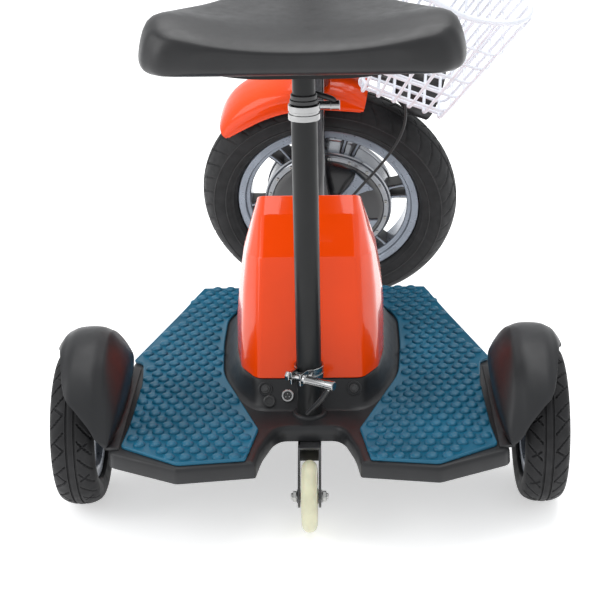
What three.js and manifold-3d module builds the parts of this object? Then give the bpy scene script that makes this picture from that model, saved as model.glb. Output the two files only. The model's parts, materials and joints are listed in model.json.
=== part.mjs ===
// Folding three-wheeled personal scooter, millimetres, +X right, +Y forward, +Z up.
import * as THREE from 'three';
import { mergeVertices } from 'three/addons/utils/BufferGeometryUtils.js';
import Module from 'manifold-3d';

const wasm = await Module();
wasm.setup();

// ---- driving sizes -------------------------------------------------------------------------------
const GAP = 0.3;                 // clearance left between neighbouring parts
const REAR_R = 100;              // rear tyre radius, also the rear axle height
const REAR_W = 54;               // rear tyre width
const HALF_TRACK = 290;          // rear wheel centre from the middle
const FRONT_R = 207;             // front tyre radius
const FRONT_W = 80;              // front tyre width
const AXIS_Y = 638;              // steering axis, where it passes nearest to the front axle
const AXIS_Z = 197.3;
const RAKE = 20.4;               // steering axis leans back by this many degrees
const TURN = 94.8;               // steering turned to the right as drawn, degrees
const OFFSET = 23;               // front axle ahead of the steering axis
const DECK_TOP = 124;
const DECK_LOW = 104;
const DECK_SKIN = 6;
const TRAY_TOP = 158;
const MAT_T = 4;
const POST_Y = -20;
const POST_R = 15.4;
const POST_BORE = 13.6;
const SEAT_TUBE_R = 13.3;
const POST_TOP = 523;
const SADDLE_LOW = 575;
const CASTER_Y = -106;
const CASTER_Z = 54;
const CASTER_R = 44;
const BASKET_LOW = 506;
const BASKET_HIGH = 700;
const BAR_S = 858;               // handlebar height measured along the steering axis

// ---- shapes --------------------------------------------------------------------------------------
const rad = THREE.MathUtils.degToRad;
const V = (x, y, z) => new THREE.Vector3(x, y, z);
const AXES = { x: V(1, 0, 0), y: V(0, 1, 0), z: V(0, 0, 1) };

const at = (g, x, y, z) => g.translate(x, y, z);
const box = (x0, x1, y0, y1, z0, z1) =>
  at(new THREE.BoxGeometry(x1 - x0, y1 - y0, z1 - z0), (x0 + x1) / 2, (y0 + y1) / 2, (z0 + z1) / 2);
const toward = (g, dir) =>
  g.applyQuaternion(new THREE.Quaternion().setFromUnitVectors(AXES.y, dir.clone().normalize()));
const rod = (r, p, q, sides = 14) => {
  const d = q.clone().sub(p);
  const c = p.clone().add(q).multiplyScalar(0.5);
  return at(toward(new THREE.CylinderGeometry(r, r, d.length(), sides), d), c.x, c.y, c.z);
};
// profile of [radius, height] pairs turned about the line through p along dir
const turned = (profile, p, dir, sides = 20) =>
  at(toward(new THREE.LatheGeometry(profile.map(([r, h]) => new THREE.Vector2(r, h)), sides), dir), p.x,
    p.y, p.z);
const sleeve = (rIn, rOut, p, q, sides = 20) => {
  const l = p.distanceTo(q);
  return turned([[rIn, 0], [rOut, 0], [rOut, l], [rIn, l], [rIn, 0]], p, q.clone().sub(p), sides);
};
const shapeOf = (points) => new THREE.Shape(points.map(([a, b]) => new THREE.Vector2(a, b)));
const plate = (points, z0, z1) =>
  at(new THREE.ExtrudeGeometry(shapeOf(points), { depth: z1 - z0, bevelEnabled: false }), 0, 0, z0);
// outline in (y, z), thickness along x
const sidePlate = (points, x0, x1) => {
  const g = new THREE.ExtrudeGeometry(shapeOf(points), { depth: x1 - x0, bevelEnabled: false });
  const m = new THREE.Matrix4().makeBasis(AXES.y, AXES.z, AXES.x);
  return at(g.applyMatrix4(m), x0, 0, 0);
};
// a path that is cut only at the points it is given
class Knots extends THREE.Curve {
  constructor(points) {
    super();
    this.points = points;
  }
  getPointAt(u) {
    const k = Math.min(u * (this.points.length - 1), this.points.length - 1);
    const i = Math.min(Math.floor(k), this.points.length - 2);
    return this.points[i].clone().lerp(this.points[i + 1], k - i);
  }
  getPoint(t) { return this.getPointAt(t);
  }
  getTangentAt(u) {
    const n = this.points.length - 1;
    const i = Math.round(u * n);
    const ends = this.points[0].distanceTo(this.points[n]) < 1e-6 ? [(i - 1 + n) % n, (i % n) + 1]
      : [i - 1, i + 1];
    const p = this.points[Math.max(ends[0], 0)];
    const q = this.points[Math.min(ends[1], n)];
    const m = this.points[i];
    return m.clone().sub(p).normalize().add(q.clone().sub(m).normalize()).normalize();
  }
}
// straight runs joined by rounded corners
const bentPath = (points, bend, closed = false) => {
  const n = points.length;
  const knots = [];
  points.forEach((p, i) => {
    if (!closed && (i === 0 || i === n - 1)) {
      knots.push(p.clone());
      return;
    }
    const a = points[(i - 1 + n) % n].clone().sub(p);
    const b = points[(i + 1) % n].clone().sub(p);
    const r = Math.min(bend, a.length() / 2.05, b.length() / 2.05);
    const arc = new THREE.QuadraticBezierCurve3(p.clone().add(a.setLength(r)), p,
      p.clone().add(b.setLength(r)));
    knots.push(...arc.getPoints(2));
  });
  if (closed) knots.push(knots[0].clone());
  return new Knots(knots);
};
const swept = (path, r, steps, sides = 8) => {
  const ring = Array.from({ length: sides }, (_, i) => [
    r * Math.cos((2 * Math.PI * i) / sides), r * Math.sin((2 * Math.PI * i) / sides)]);
  return new THREE.ExtrudeGeometry(shapeOf(ring), {
    extrudePath: path, steps: steps || path.points.length - 1, bevelEnabled: false });
};
// closed skin through a stack of rings with the same number of points
const lofted = (rings) => {
  const n = rings[0].length;
  const flat = rings.flat();
  const index = [];
  for (let k = 0; k < rings.length - 1; k += 1) {
    for (let i = 0; i < n; i += 1) {
      const a = k * n + i;
      const b = k * n + ((i + 1) % n);
      index.push(a, b, b + n, a, b + n, a + n);
    }
  }
  // each end is closed by a strip between the ring's first half and its second half
  const cap = (first, flip) => {
    const face = (a, b, c) => index.push(...(flip ? [first + c, first + b, first + a] : [first + a,
      first + b, first + c]));
    for (let i = 0; i + 1 < n - 1 - i; i += 1) {
      face(i, i + 1, n - 1 - i);
      if (i + 1 < n - 2 - i) face(i + 1, n - 2 - i, n - 1 - i);
    }
  };
  cap(0, true);
  cap((rings.length - 1) * n, false);
  const g = new THREE.BufferGeometry();
  g.setAttribute('position', new THREE.Float32BufferAttribute(flat.flatMap((p) => [p.x, p.y, p.z]), 3));
  g.setIndex(index);
  return outward(g);
};
const volume = (g) => {
  const p = g.attributes.position;
  const ix = g.index.array;
  const a = V(0, 0, 0);
  const b = V(0, 0, 0);
  const c = V(0, 0, 0);
  let v = 0;
  for (let i = 0; i < ix.length; i += 3) {
    a.fromBufferAttribute(p, ix[i]); b.fromBufferAttribute(p, ix[i + 1]); c.fromBufferAttribute(p,
      ix[i + 2]);
    v += a.dot(b.cross(c));
  }
  return v;
};
function outward(g) {
  if (volume(g) < 0) {
    const ix = Array.from(g.index.array);
    for (let i = 0; i < ix.length; i += 3) [ix[i], ix[i + 1]] = [ix[i + 1], ix[i]];
    g.setIndex(ix);
  }
  return g;
}
const welded = (g) => {
  const bare = g.clone();
  ['normal', 'uv', 'uv1', 'color'].forEach((k) => bare.deleteAttribute(k));
  return outward(mergeVertices(bare, 1e-3));
};
const solid = (g) => {
  if (!g.isBufferGeometry) return g;
  const w = welded(g);
  return new wasm.Manifold(new wasm.Mesh({
    numProp: 3,
    vertProperties: new Float32Array(w.attributes.position.array),
    triVerts: new Uint32Array(w.index.array),
  }));
};
const join = (...parts) => parts.map(solid).reduce((a, b) => a.add(b));
const cut = (body, ...tools) => tools.map(solid).reduce((a, b) => a.subtract(b), solid(body));
const skin = (s) => {
  if (s.isBufferGeometry) return welded(s);
  const m = s.getMesh();
  const g = new THREE.BufferGeometry();
  g.setAttribute('position', new THREE.Float32BufferAttribute(Array.from(m.vertProperties), 3));
  g.setIndex(Array.from(m.triVerts));
  return welded(g);
};
const mirrored = (points) => [...points, ...points.slice().reverse().map(([x, y]) => [-x, y])];
const inset = (points, d) => points.map((p, i) => {
  const n = points.length;
  const line = (a, b) => {
    const l = Math.hypot(b[0] - a[0], b[1] - a[1]);
    const nx = -(b[1] - a[1]) / l;
    const ny = (b[0] - a[0]) / l;
    return [nx, ny, nx * a[0] + ny * a[1] + d];
  };
  const [a, b, c] = line(points[(i - 1 + n) % n], p);
  const [e, f, g] = line(p, points[(i + 1) % n]);
  const det = a * f - b * e;
  if (Math.abs(det) < 1e-6) return [p[0] + a * d, p[1] + b * d];
  return [(c * f - b * g) / det, (a * g - c * e) / det];
});
const hexagon = (r, p, q) => rod(r, p, q, 6);

// ---- colours -------------------------------------------------------------------------------------
const paint = (color, metalness, roughness) => new THREE.MeshStandardMaterial({ color, metalness,
  roughness });
const BLACK_PAINT = paint(0x141517, 0.3, 0.45);
const BLACK_PLASTIC = paint(0x222428, 0, 0.6);
const ORANGE = paint(0xf2460a, 0, 0.25);
const BLUE = paint(0x17648c, 0, 0.55);
const RUBBER = paint(0x161616, 0, 0.85);
const SILVER = paint(0x9aa3ad, 0.7, 0.4);
const CHROME = paint(0xd8dadd, 1, 0.12);
const STEEL = paint(0x9b9ea3, 1, 0.35);
const CREAM = paint(0xd6d3b4, 0, 0.4);
const WHITE = paint(0xe8eaf0, 0.1, 0.35);
const GLASS = paint(0xe6edf2, 0, 0.1);

const scooter = new THREE.Group();
scooter.name = 'scooter';
const add = (name, shape, material, matrix) => {
  const g = skin(shape);
  if (matrix) g.applyMatrix4(matrix);
  g.computeVertexNormals();
  const mesh = new THREE.Mesh(g, material);
  mesh.name = name;
  scooter.add(mesh);
};

// ---- steering frames -----------------------------------------------------------------------------
const PIVOT = V(0, AXIS_Y, AXIS_Z);
const AXIS = V(0, -Math.sin(rad(RAKE)), Math.cos(rad(RAKE)));
const LEAN = new THREE.Matrix4().makeRotationX(rad(RAKE)).setPosition(PIVOT);
const STEERED = new THREE.Matrix4().makeTranslation(PIVOT.x, PIVOT.y, PIVOT.z)
  .multiply(new THREE.Matrix4().makeRotationAxis(AXIS, rad(-TURN)))
  .multiply(new THREE.Matrix4().makeTranslation(-PIVOT.x, -PIVOT.y, -PIVOT.z));
const LEANED_STEERED = STEERED.clone().multiply(LEAN);
const HUB = V(0, OFFSET, 0);

// ---- welded chassis ------------------------------------------------------------------------------
const RAIL_X = 48;
const RAIL_W = 30;
const RAIL_H = 24;
const RAIL_TOP = DECK_TOP - DECK_SKIN - GAP;
const RAIL_BACK = -32;
const RAIL_FRONT = 399;
const BEAM_HALF = HALF_TRACK - 40;
const BEAM_S = 28;
const NECK_R = 19;
const NECK_Y = 388;
const HEAD_LOW = 272;
const HEAD_HIGH = 398;
const HEAD_R = 21;
const STEERER_R = 14.3;
const SOCKET_R = 19.5;
const SOCKET_LOW = 92;
const POST_LOW = 96;
const AXLE_BOLT_R = 6;
const onAxis = (s) => PIVOT.clone().addScaledVector(AXIS, s);
const neckPath = new THREE.CatmullRomCurve3([
  V(0, NECK_Y, RAIL_TOP - RAIL_H + 2), V(0, NECK_Y - 2, 200), V(0, NECK_Y + 3, 290),
  V(0, 420, 352), V(0, 452, 404), V(0, 470, 450), V(0, 500, 490), V(0, 521, 505)]);
const rails = [-1, 1].map((s) =>
  box(s * RAIL_X - RAIL_W / 2, s * RAIL_X + RAIL_W / 2, RAIL_BACK, RAIL_FRONT, RAIL_TOP - RAIL_H,
    RAIL_TOP));
const frameBody = join(
  ...rails,
  box(-RAIL_X, RAIL_X, RAIL_FRONT - 26, RAIL_FRONT, RAIL_TOP - RAIL_H, RAIL_TOP),
  box(-RAIL_X, RAIL_X, 180, 204, RAIL_TOP - RAIL_H, RAIL_TOP),
  box(-BEAM_HALF, BEAM_HALF, -BEAM_S / 2, BEAM_S / 2, REAR_R - BEAM_S / 2, REAR_R + BEAM_S / 2),
  box(-RAIL_X, RAIL_X, RAIL_BACK, POST_Y + 6, DECK_LOW - GAP, RAIL_TOP),
  rod(SOCKET_R, V(0, POST_Y, SOCKET_LOW), V(0, POST_Y, RAIL_TOP), 20),
  swept(neckPath, NECK_R, 11, 12),
  rod(HEAD_R, onAxis(HEAD_LOW), onAxis(HEAD_HIGH), 20),
);
add('frame', cut(
  frameBody,
  rod(STEERER_R + GAP, onAxis(HEAD_LOW - 20), onAxis(HEAD_HIGH + 20), 20),
  rod(POST_R + GAP, V(0, POST_Y, POST_LOW - GAP), V(0, POST_Y, 140), 20),
  ...[-1, 1].map((s) =>
    rod(AXLE_BOLT_R + GAP, V(s * (BEAM_HALF - 60), 0, REAR_R), V(s * (BEAM_HALF + 10), 0, REAR_R), 20)),
), BLACK_PAINT);

// ---- deck moulding with battery tray -------------------------------------------------------------
const deckEdge = [
  [34, -58], [44, -70], [56.5, -112], [62, -152], [155, -166], [HALF_TRACK - 49, -122],
  [HALF_TRACK - 47, 139], [196, 303], [172,
    408],
  [NECK_R + 6, 408], [NECK_R + 6, 364]];
const trayBase = [[66, -8], [95, 40], [113, 100], [118, 190], [118, 280], [84, 348]];
const trayRim = [[67.5, 10], [88, 45], [96, 100], [98, 190], [96, 270], [64, 340]];
const trayWell = [[60, 17], [81, 48], [89, 102], [91, 190], [89, 267], [58, 332]];
const level = (points, z) => mirrored(points).map(([x, y]) => V(x, y, z));
const panelAt = (x, z) => V(x, -8 + ((z - DECK_TOP) * 18) / (TRAY_TOP - DECK_TOP), z);
const PANEL_OUT = V(0, -(TRAY_TOP - DECK_TOP), 18).normalize();
const panelHole = (x, z, r) => rod(r, panelAt(x, z).addScaledVector(PANEL_OUT, -20),
  panelAt(x, z).addScaledVector(PANEL_OUT, 10), 20);
const SOCKET = { x: -28, z: 139, r: 6.4 };
const BREAKER = { x: -51, z: 133, r: 6 };
const SCREWS = { x: 56, z: 147, r: 3 };
const deckOutline = mirrored(deckEdge);
add('deck', cut(
  join(
    plate(deckOutline, DECK_LOW, DECK_TOP),
    lofted([level(trayBase, DECK_TOP - 1), level(trayBase, DECK_TOP), level(trayRim, TRAY_TOP)]),
    rod(POST_R + 3.2, V(0, POST_Y, DECK_TOP - 1), V(0, POST_Y, DECK_TOP + 4), 20),
  ),
  plate(inset(deckOutline, DECK_SKIN), DECK_LOW - 1, DECK_TOP - DECK_SKIN),
  lofted([level(trayWell, DECK_TOP - 2), level(trayWell, TRAY_TOP + 2)]),
  box(-BEAM_HALF - 10, BEAM_HALF + 10, -BEAM_S / 2 - 1, BEAM_S / 2 + 1,
    DECK_LOW - 2, REAR_R + BEAM_S / 2 + 0.5),
  box(-RAIL_X, RAIL_X, RAIL_FRONT - 28, RAIL_FRONT + 1, DECK_LOW - 2, DECK_TOP - DECK_SKIN),
  rod(POST_R + GAP, V(0, POST_Y, 90), V(0, POST_Y, 200), 20),
  panelHole(SOCKET.x, SOCKET.z, SOCKET.r + GAP),
  panelHole(BREAKER.x, BREAKER.z, BREAKER.r + GAP),
  panelHole(SCREWS.x, SCREWS.z, SCREWS.r + GAP),
  panelHole(-SCREWS.x, SCREWS.z, SCREWS.r + GAP),
), BLACK_PLASTIC);

// rubber mats, one each side of the tray
const matEdge = [
  [74, -147], [154, -158], [HALF_TRACK - 64, -112], [HALF_TRACK - 68, -60], [HALF_TRACK - 70, 60],
  [HALF_TRACK - 64, 128], [HALF_TRACK - 50, 139], [194, 298], [166,
    402],
  [40, 402], [90, 352], [121, 286], [121, 188], [115, 90], [62, -69]];
const side = { left: -1, right: 1 };
Object.entries(side).forEach(([name, s]) => {
  const outline = matEdge.map(([x, y]) => [s * x, y]);
  add(`mat_${name}`, plate(outline, DECK_TOP + GAP, DECK_TOP + GAP + MAT_T), BLUE);
});

// ---- rear fenders --------------------------------------------------------------------------------
const FENDER_BACK = -78;
const FENDER_FRONT = 78;
const FENDER_FOOT = DECK_TOP + GAP;
const HOOD_SKIN = 3.2;
// outboard of the wheel's middle, radius, and the angle behind the axle where the hood begins there
const hoodCrown = [
  [25, 97, 10], [24.5, 104, 4], [20, 112.5, -5], [13.5, 120, -22], [4, 124.5, -47],
  [-10, 126.5, -56], [-26, 126, -65], [-36, 122.5, -73]];
// share of the wall's height, and how far it leans outboard there
const hoodWall = [[0.97, 14], [0.85, 5], [0.72, -2], [0.55, -8], [0.3, -6], [0.08, -1]];
const hoodRing = (s, k) => {
  const crown = (x, r, start) => {
    const t = rad(start + (FENDER_FRONT - start) * k);
    const z = REAR_R + r * Math.cos(t);
    return V(s * (HALF_TRACK + x), r * Math.sin(t), x < -28 ? Math.max(z, FENDER_FOOT + 4) : z);
  };
  const swing = FENDER_BACK + (FENDER_FRONT - FENDER_BACK) * k;
  const y = 119 * Math.sin(rad(swing));
  const height = Math.max(REAR_R + 122 * Math.cos(rad(swing)) - FENDER_FOOT, 4);
  const heel = HALF_TRACK - 56 + 9 * (swing / FENDER_FRONT) ** 2;
  const wall = hoodWall.map(([share, lean]) => [heel + (lean * height) / 98, FENDER_FOOT + share * height]);
  return [
    ...hoodCrown.map((point) => crown(...point)),
    ...wall.map(([x, z]) => V(s * x, y, z)),
    V(s * (heel - 2), y, FENDER_FOOT + 3.4), V(s * (HALF_TRACK - 62), y, FENDER_FOOT + 1.8),
    V(s * (HALF_TRACK - 62), y, FENDER_FOOT), V(s * (heel + HOOD_SKIN), y, FENDER_FOOT),
    ...wall.slice().reverse().map(([x, z]) => V(s * (x + HOOD_SKIN), y, z)),
    ...hoodCrown.slice(3).reverse().map(([x, r, start]) => crown(x, r - HOOD_SKIN, start)),
    ...hoodCrown.slice(0, 3).reverse().map(([x, r, start]) => crown(x - HOOD_SKIN, r, start)),
  ];
};
Object.entries(side).forEach(([name, s]) => {
  const rings = Array.from({ length: 12 }, (_, i) => hoodRing(s, i / 11));
  add(`fender_${name}`, lofted(rings), BLACK_PLASTIC);
});

// ---- battery bay ---------------------------------------------------------------------------------
// height at the back edge, fall for each millimetre ahead of it, and the outline seen from above
const coverRings = [
  [TRAY_TOP + GAP, 0, [[67.5, 10.5], [88, 45], [96, 100], [98, 190], [96, 270], [64, 340]]],
  [205, 0.03, [[66, 24], [87, 55], [96, 108], [98, 190], [95, 266], [62, 334]]],
  [260, 0.115, [[64, 45], [84, 75], [92, 122], [94, 190], [90, 258], [58, 322]]],
  [302, 0.177, [[63, 62], [80, 92], [86, 135], [88, 190], [84, 250], [54, 310]]],
  [345, 0.34, [[62, 104], [71, 125], [75, 155], [76, 190], [72, 235], [48, 280]]],
  [362, 0.383, [[60, 130], [66, 145], [68, 165], [68, 190], [62, 225], [42, 258]]]];
const COVER_SKIN = 3;
const coverRing = ([z, fall, points], drop, skinned) => {
  const back = points[0][1];
  const line = skinned
    ? points.map(([x, y]) => [x - COVER_SKIN, y < 190 ? y + COVER_SKIN : y - COVER_SKIN]) : points;
  return mirrored(line).map(([x, y]) => V(x, y, z - drop - fall * (y - back)));
};
add('battery_cover', cut(
  lofted(coverRings.map((ring) => coverRing(ring, 0, false))),
  lofted([coverRing(coverRings[0], 2, true), ...coverRings.slice(0, 5).map((ring) => coverRing(ring, 1,
    true)),
    coverRing(coverRings[5], COVER_SKIN, true)]),
), ORANGE);
const BATTERY = { halfX: 75.5, y: 98, z: 95 };
const BAY_FLOOR = DECK_TOP - 2 + GAP;
['rear', 'front'].forEach((name, i) => {
  const y0 = 84 + i * (BATTERY.y + 2);
  add(`battery_${name}`, join(
    box(-BATTERY.halfX, BATTERY.halfX, y0, y0 + BATTERY.y, BAY_FLOOR, BAY_FLOOR + BATTERY.z),
    box(-66, -56, y0 + 10, y0 + 22, BAY_FLOOR + BATTERY.z - 1, BAY_FLOOR + BATTERY.z + 6),
    box(56, 66, y0 + 10, y0 + 22, BAY_FLOOR + BATTERY.z - 1, BAY_FLOOR + BATTERY.z + 6),
  ), paint(0x2d3036, 0, 0.6));
});
const CONTROLLER_LOW = BAY_FLOOR + BATTERY.z + GAP;
add('controller', join(
  box(-38, 38, 120, 260, CONTROLLER_LOW, CONTROLLER_LOW + 34),
  ...[0, 1, 2, 3, 4].map((i) => box(-30 + i * 14, -26 + i * 14, 124, 256, CONTROLLER_LOW + 33,
    CONTROLLER_LOW + 40)),
), STEEL);

// ---- rear panel fittings -------------------------------------------------------------------------
const SOCKET_FLANGE = 8;
const pinAt = (a) => {
  const u = V(Math.cos(rad(a)), 0, 0);
  const w = PANEL_OUT.clone().cross(AXES.x).multiplyScalar(Math.sin(rad(a)));
  return u.add(w).multiplyScalar(2.6).add(panelAt(SOCKET.x, SOCKET.z));
};
add('charge_socket', join(
  turned([[0, -12], [SOCKET.r, -12], [SOCKET.r, GAP], [SOCKET_FLANGE, GAP], [SOCKET_FLANGE, 3],
    [5.2, 3], [5.2, -8], [0, -8]], panelAt(SOCKET.x, SOCKET.z), PANEL_OUT, 16),
  ...[90, 210, 330].map((a) => rod(1, pinAt(a).addScaledVector(PANEL_OUT, -9),
    pinAt(a).addScaledVector(PANEL_OUT, 0), 8)),
), CHROME);
add('breaker_cap', turned([[0, -12], [BREAKER.r, -12], [BREAKER.r, GAP], [7.8, GAP], [7.8, 2.4], [6.6, 3.2],
  [5, 3.2], [4.6, 2.4], [0, 2.4]], panelAt(BREAKER.x, BREAKER.z), PANEL_OUT, 16), BLACK_PLASTIC);
Object.entries(side).forEach(([name, s]) => {
  add(`panel_screw_${name}`, turned([[0, -12], [SCREWS.r, -12], [SCREWS.r, GAP], [5.6, GAP], [5.6, 1.4],
    [4.2, 3], [2, 3], [2, 1.2], [0, 1.2]], panelAt(s * SCREWS.x, SCREWS.z), PANEL_OUT, 12), STEEL);
});

// ---- rear wheels ---------------------------------------------------------------------------------
const REAR_RIM_R = 62;
const half = (points) => [...points, ...points.slice().reverse().filter(([r, h]) => h !== 0).map(([r,
  h]) => [r, -h])];
const closedRing = (points) => [...half(points), half(points)[0]];
Object.entries(side).forEach(([name, s]) => {
  const c = V(s * HALF_TRACK, 0, REAR_R);
  const w = REAR_W / 2;
  add(`tyre_rear_${name}`, turned(closedRing([
    [REAR_RIM_R + GAP, -14.6], [67.3, -15], [67.6, -19.5], [70, -23], [78, -w + 0.6], [86, -w], [93,
      -w + 4], [98, -w + 11],
    [REAR_R, 0]]), c, AXES.x, 20), RUBBER);
  add(`rim_rear_${name}`, turned([
    [AXLE_BOLT_R + GAP, -26], [16, -26], [18, -8], [50, -8], [52, -19], [67, -19], [67, -15.6],
      [REAR_RIM_R, -15.2],
    [REAR_RIM_R, 15.2], [67, 15.6], [67, 19], [52, 19], [50, 8], [18, 8], [16, 26], [AXLE_BOLT_R + GAP, 26],
    [AXLE_BOLT_R + GAP, -26]], c, AXES.x, 20), SILVER);
  add(`axle_bolt_${name}`, join(
    rod(AXLE_BOLT_R, V(s * (BEAM_HALF - 58), 0, REAR_R), V(s * (HALF_TRACK + 32), 0, REAR_R)),
    hexagon(10.5, V(s * (HALF_TRACK + 26 + GAP), 0, REAR_R), V(s * (HALF_TRACK + 35), 0, REAR_R)),
    rod(9, V(s * (BEAM_HALF + GAP), 0, REAR_R), V(s * (HALF_TRACK - 26 - GAP), 0, REAR_R)),
  ), STEEL);
});

// ---- caster wheel --------------------------------------------------------------------------------
const CASTER_HALF = 9.8;
const CHEEK_IN = CASTER_HALF + 1.5;
const CHEEK_OUT = CHEEK_IN + 3;
const CASTER_BOLT_R = 4;
const BRACKET_TOP = DECK_LOW - 2 * GAP;
const BRACKET_FRONT = -42;
const cheek = [[BRACKET_FRONT, BRACKET_TOP], [-72, BRACKET_TOP], [-124, 60], [-120, 44], [-98, 40], [-86,
  52],
  [BRACKET_FRONT, 70]];
const across = (r, x0, x1) => rod(r, V(x0, CASTER_Y, CASTER_Z), V(x1, CASTER_Y, CASTER_Z));
add('caster_bracket', cut(
  join(
    sidePlate(cheek, CHEEK_IN, CHEEK_OUT), sidePlate(cheek, -CHEEK_OUT, -CHEEK_IN),
    box(-CHEEK_OUT, CHEEK_OUT, -74, BRACKET_FRONT, BRACKET_TOP - 3, BRACKET_TOP),
    box(-CHEEK_OUT, CHEEK_OUT, BRACKET_FRONT - 3, BRACKET_FRONT, 70, BRACKET_TOP),
  ), across(CASTER_BOLT_R + GAP, -30, 30)), BLACK_PAINT);
add('caster_wheel', turned(closedRing([
  [CASTER_BOLT_R + GAP, -CASTER_HALF - 1], [9, -CASTER_HALF - 1], [10, -CASTER_HALF + 2], [24,
    -CASTER_HALF + 2],
  [27, -CASTER_HALF], [36, -CASTER_HALF], [41, -CASTER_HALF + 3], [43.3, -CASTER_HALF + 6], [CASTER_R, 0]]),
V(0, CASTER_Y, CASTER_Z), AXES.x, 20), CREAM);
add('caster_bolt', join(
  across(CASTER_BOLT_R, -23, 23),
  hexagon(7, V(CHEEK_OUT + GAP, CASTER_Y, CASTER_Z), V(CHEEK_OUT + 5.5, CASTER_Y, CASTER_Z)),
  hexagon(7, V(-CHEEK_OUT - 5.5, CASTER_Y, CASTER_Z), V(-CHEEK_OUT - GAP, CASTER_Y, CASTER_Z)),
), STEEL);

// ---- seat post -----------------------------------------------------------------------------------
const postAt = (z) => V(0, POST_Y, z);
add('post_tube', sleeve(POST_BORE, POST_R, postAt(POST_LOW), postAt(POST_TOP), 20), BLACK_PAINT);
const BUSH_TOP = 534;
add('post_bush', sleeve(SEAT_TUBE_R + GAP, POST_R + 1.2, postAt(POST_TOP + GAP), postAt(BUSH_TOP), 20),
  BLACK_PLASTIC);
const TUBE_TOP = SADDLE_LOW - 6 - GAP;
add('seat_tube', sleeve(SEAT_TUBE_R - 2, SEAT_TUBE_R, postAt(330), postAt(TUBE_TOP), 20), BLACK_PAINT);

// split band, its pinch bolt and cam lever; built with the ears toward -Y and the lever end toward +X
const BAND_R = POST_R + 3.2;
const PINCH = 27;                // pinch bolt from the post axis
const PINCH_R = 2.8;
const EAR_IN = 5;
const EAR_OUT = 8.5;
const quickRelease = (name, z0, z1, turn, drop, length, barrel) => {
  const zm = (z0 + z1) / 2;
  const pivot = V(barrel - 6, -PINCH, zm);
  const m = new THREE.Matrix4().makeTranslation(0, POST_Y, zm)
    .multiply(turn)
    .multiply(new THREE.Matrix4().makeTranslation(0, 0, -zm));
  const band = cut(
    join(
      rod(BAND_R, V(0, 0, z0), V(0, 0, z1), 20),
      box(EAR_IN, EAR_OUT, -PINCH - 6, -12, z0, z1), box(-EAR_OUT, -EAR_IN, -PINCH - 6, -12, z0, z1)),
    rod(POST_R + GAP, V(0, 0, z0 - 1), V(0, 0, z1 + 1), 20),
    box(-EAR_IN, EAR_IN, -40, 0, z0 - 1, z1 + 1),
    rod(PINCH_R + GAP, V(-20, -PINCH, zm), V(20, -PINCH, zm)));
  add(`${name}_clamp`, band, CHROME, m);
  add(`${name}_clamp_bolt`, cut(
    join(
      rod(PINCH_R, V(-16, -PINCH, zm), V(barrel - 12, -PINCH, zm)),
      hexagon(6, V(-16, -PINCH, zm), V(-EAR_OUT - GAP, -PINCH, zm)),
      rod(5.2, V(EAR_OUT + GAP, -PINCH, zm), V(barrel, -PINCH, zm), 16)),
    box(barrel - 11, barrel + 1, -PINCH - 2.4, -PINCH + 2.4, zm - 6, zm + 6)), CHROME, m);
  const tip = V(pivot.x - length * Math.cos(rad(drop)), -PINCH, zm - length * Math.sin(rad(drop)));
  const heel = V(pivot.x + 0.5, -PINCH, zm);
  add(`${name}_clamp_lever`, join(
    rod(2.1, V(pivot.x, -PINCH - 2.1, zm), V(pivot.x, -PINCH + 2.1, zm), 16),
    swept(new THREE.CatmullRomCurve3([heel, V(pivot.x - 2, -PINCH, zm - Math.sign(drop) * 9),
      V((tip.x + pivot.x) / 2 + 4, -PINCH, (zm + tip.z) / 2 - Math.sign(drop) * 5), tip]), 2, 8, 6),
  ), CHROME, m);
};
quickRelease('lower', 176, 192, new THREE.Matrix4().makeRotationZ(rad(-30)), 54, 57, 52);
quickRelease('upper', 504, 522, new THREE.Matrix4().makeRotationX(Math.PI), 27, 50, 42);

// ---- saddle --------------------------------------------------------------------------------------
add('saddle_base', join(
  sleeve(SEAT_TUBE_R + GAP, SEAT_TUBE_R + 4, postAt(556), postAt(SADDLE_LOW - 4), 20),
  plate([[-60, -95], [60, -95], [120, -60], [120, 0], [55, 60], [36, 150], [-36, 150], [-55, 60], [-120, 0],
    [-120, -60]], SADDLE_LOW - 6, SADDLE_LOW),
), BLACK_PAINT);
// along the seat, half width, underside height or lift, crest height, middle height
const saddleStations = [
  [-118, 124, 590, 608, 603], [-110, 156, 579, 626, 610], [-85, 180, 0, 636, 616], [-55, 183, 0, 638, 620],
  [-15, 168, 0, 633, 624], [25, 128, 0, 632, 628], [65, 94, 0, 634, 632], [110, 68, 1, 634, 634],
  [165, 52, 6, 628, 630], [200, 28, 16, 614, 616]];
const saddleRing = ([y, w, low, edge, mid]) => {
  const z0 = low > 100 ? low : SADDLE_LOW + GAP + low;
  const rise = edge - z0;
  const right = [[0.93, z0], [0.99, z0 + rise * 0.12], [0.985, z0 + rise * 0.5], [0.95, edge - rise * 0.14],
    [0.85, edge], [0.6, mid + (edge - mid) * 0.5], [0.3, mid + (edge - mid) * 0.12]];
  return [...right.map(([k, z]) => V(k * w, y, z)), V(0, y, mid),
    ...right.slice().reverse().map(([k, z]) => V(-k * w, y, z))];
};
add('saddle', lofted(saddleStations.map(saddleRing)), paint(0x151515, 0, 0.6));

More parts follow.
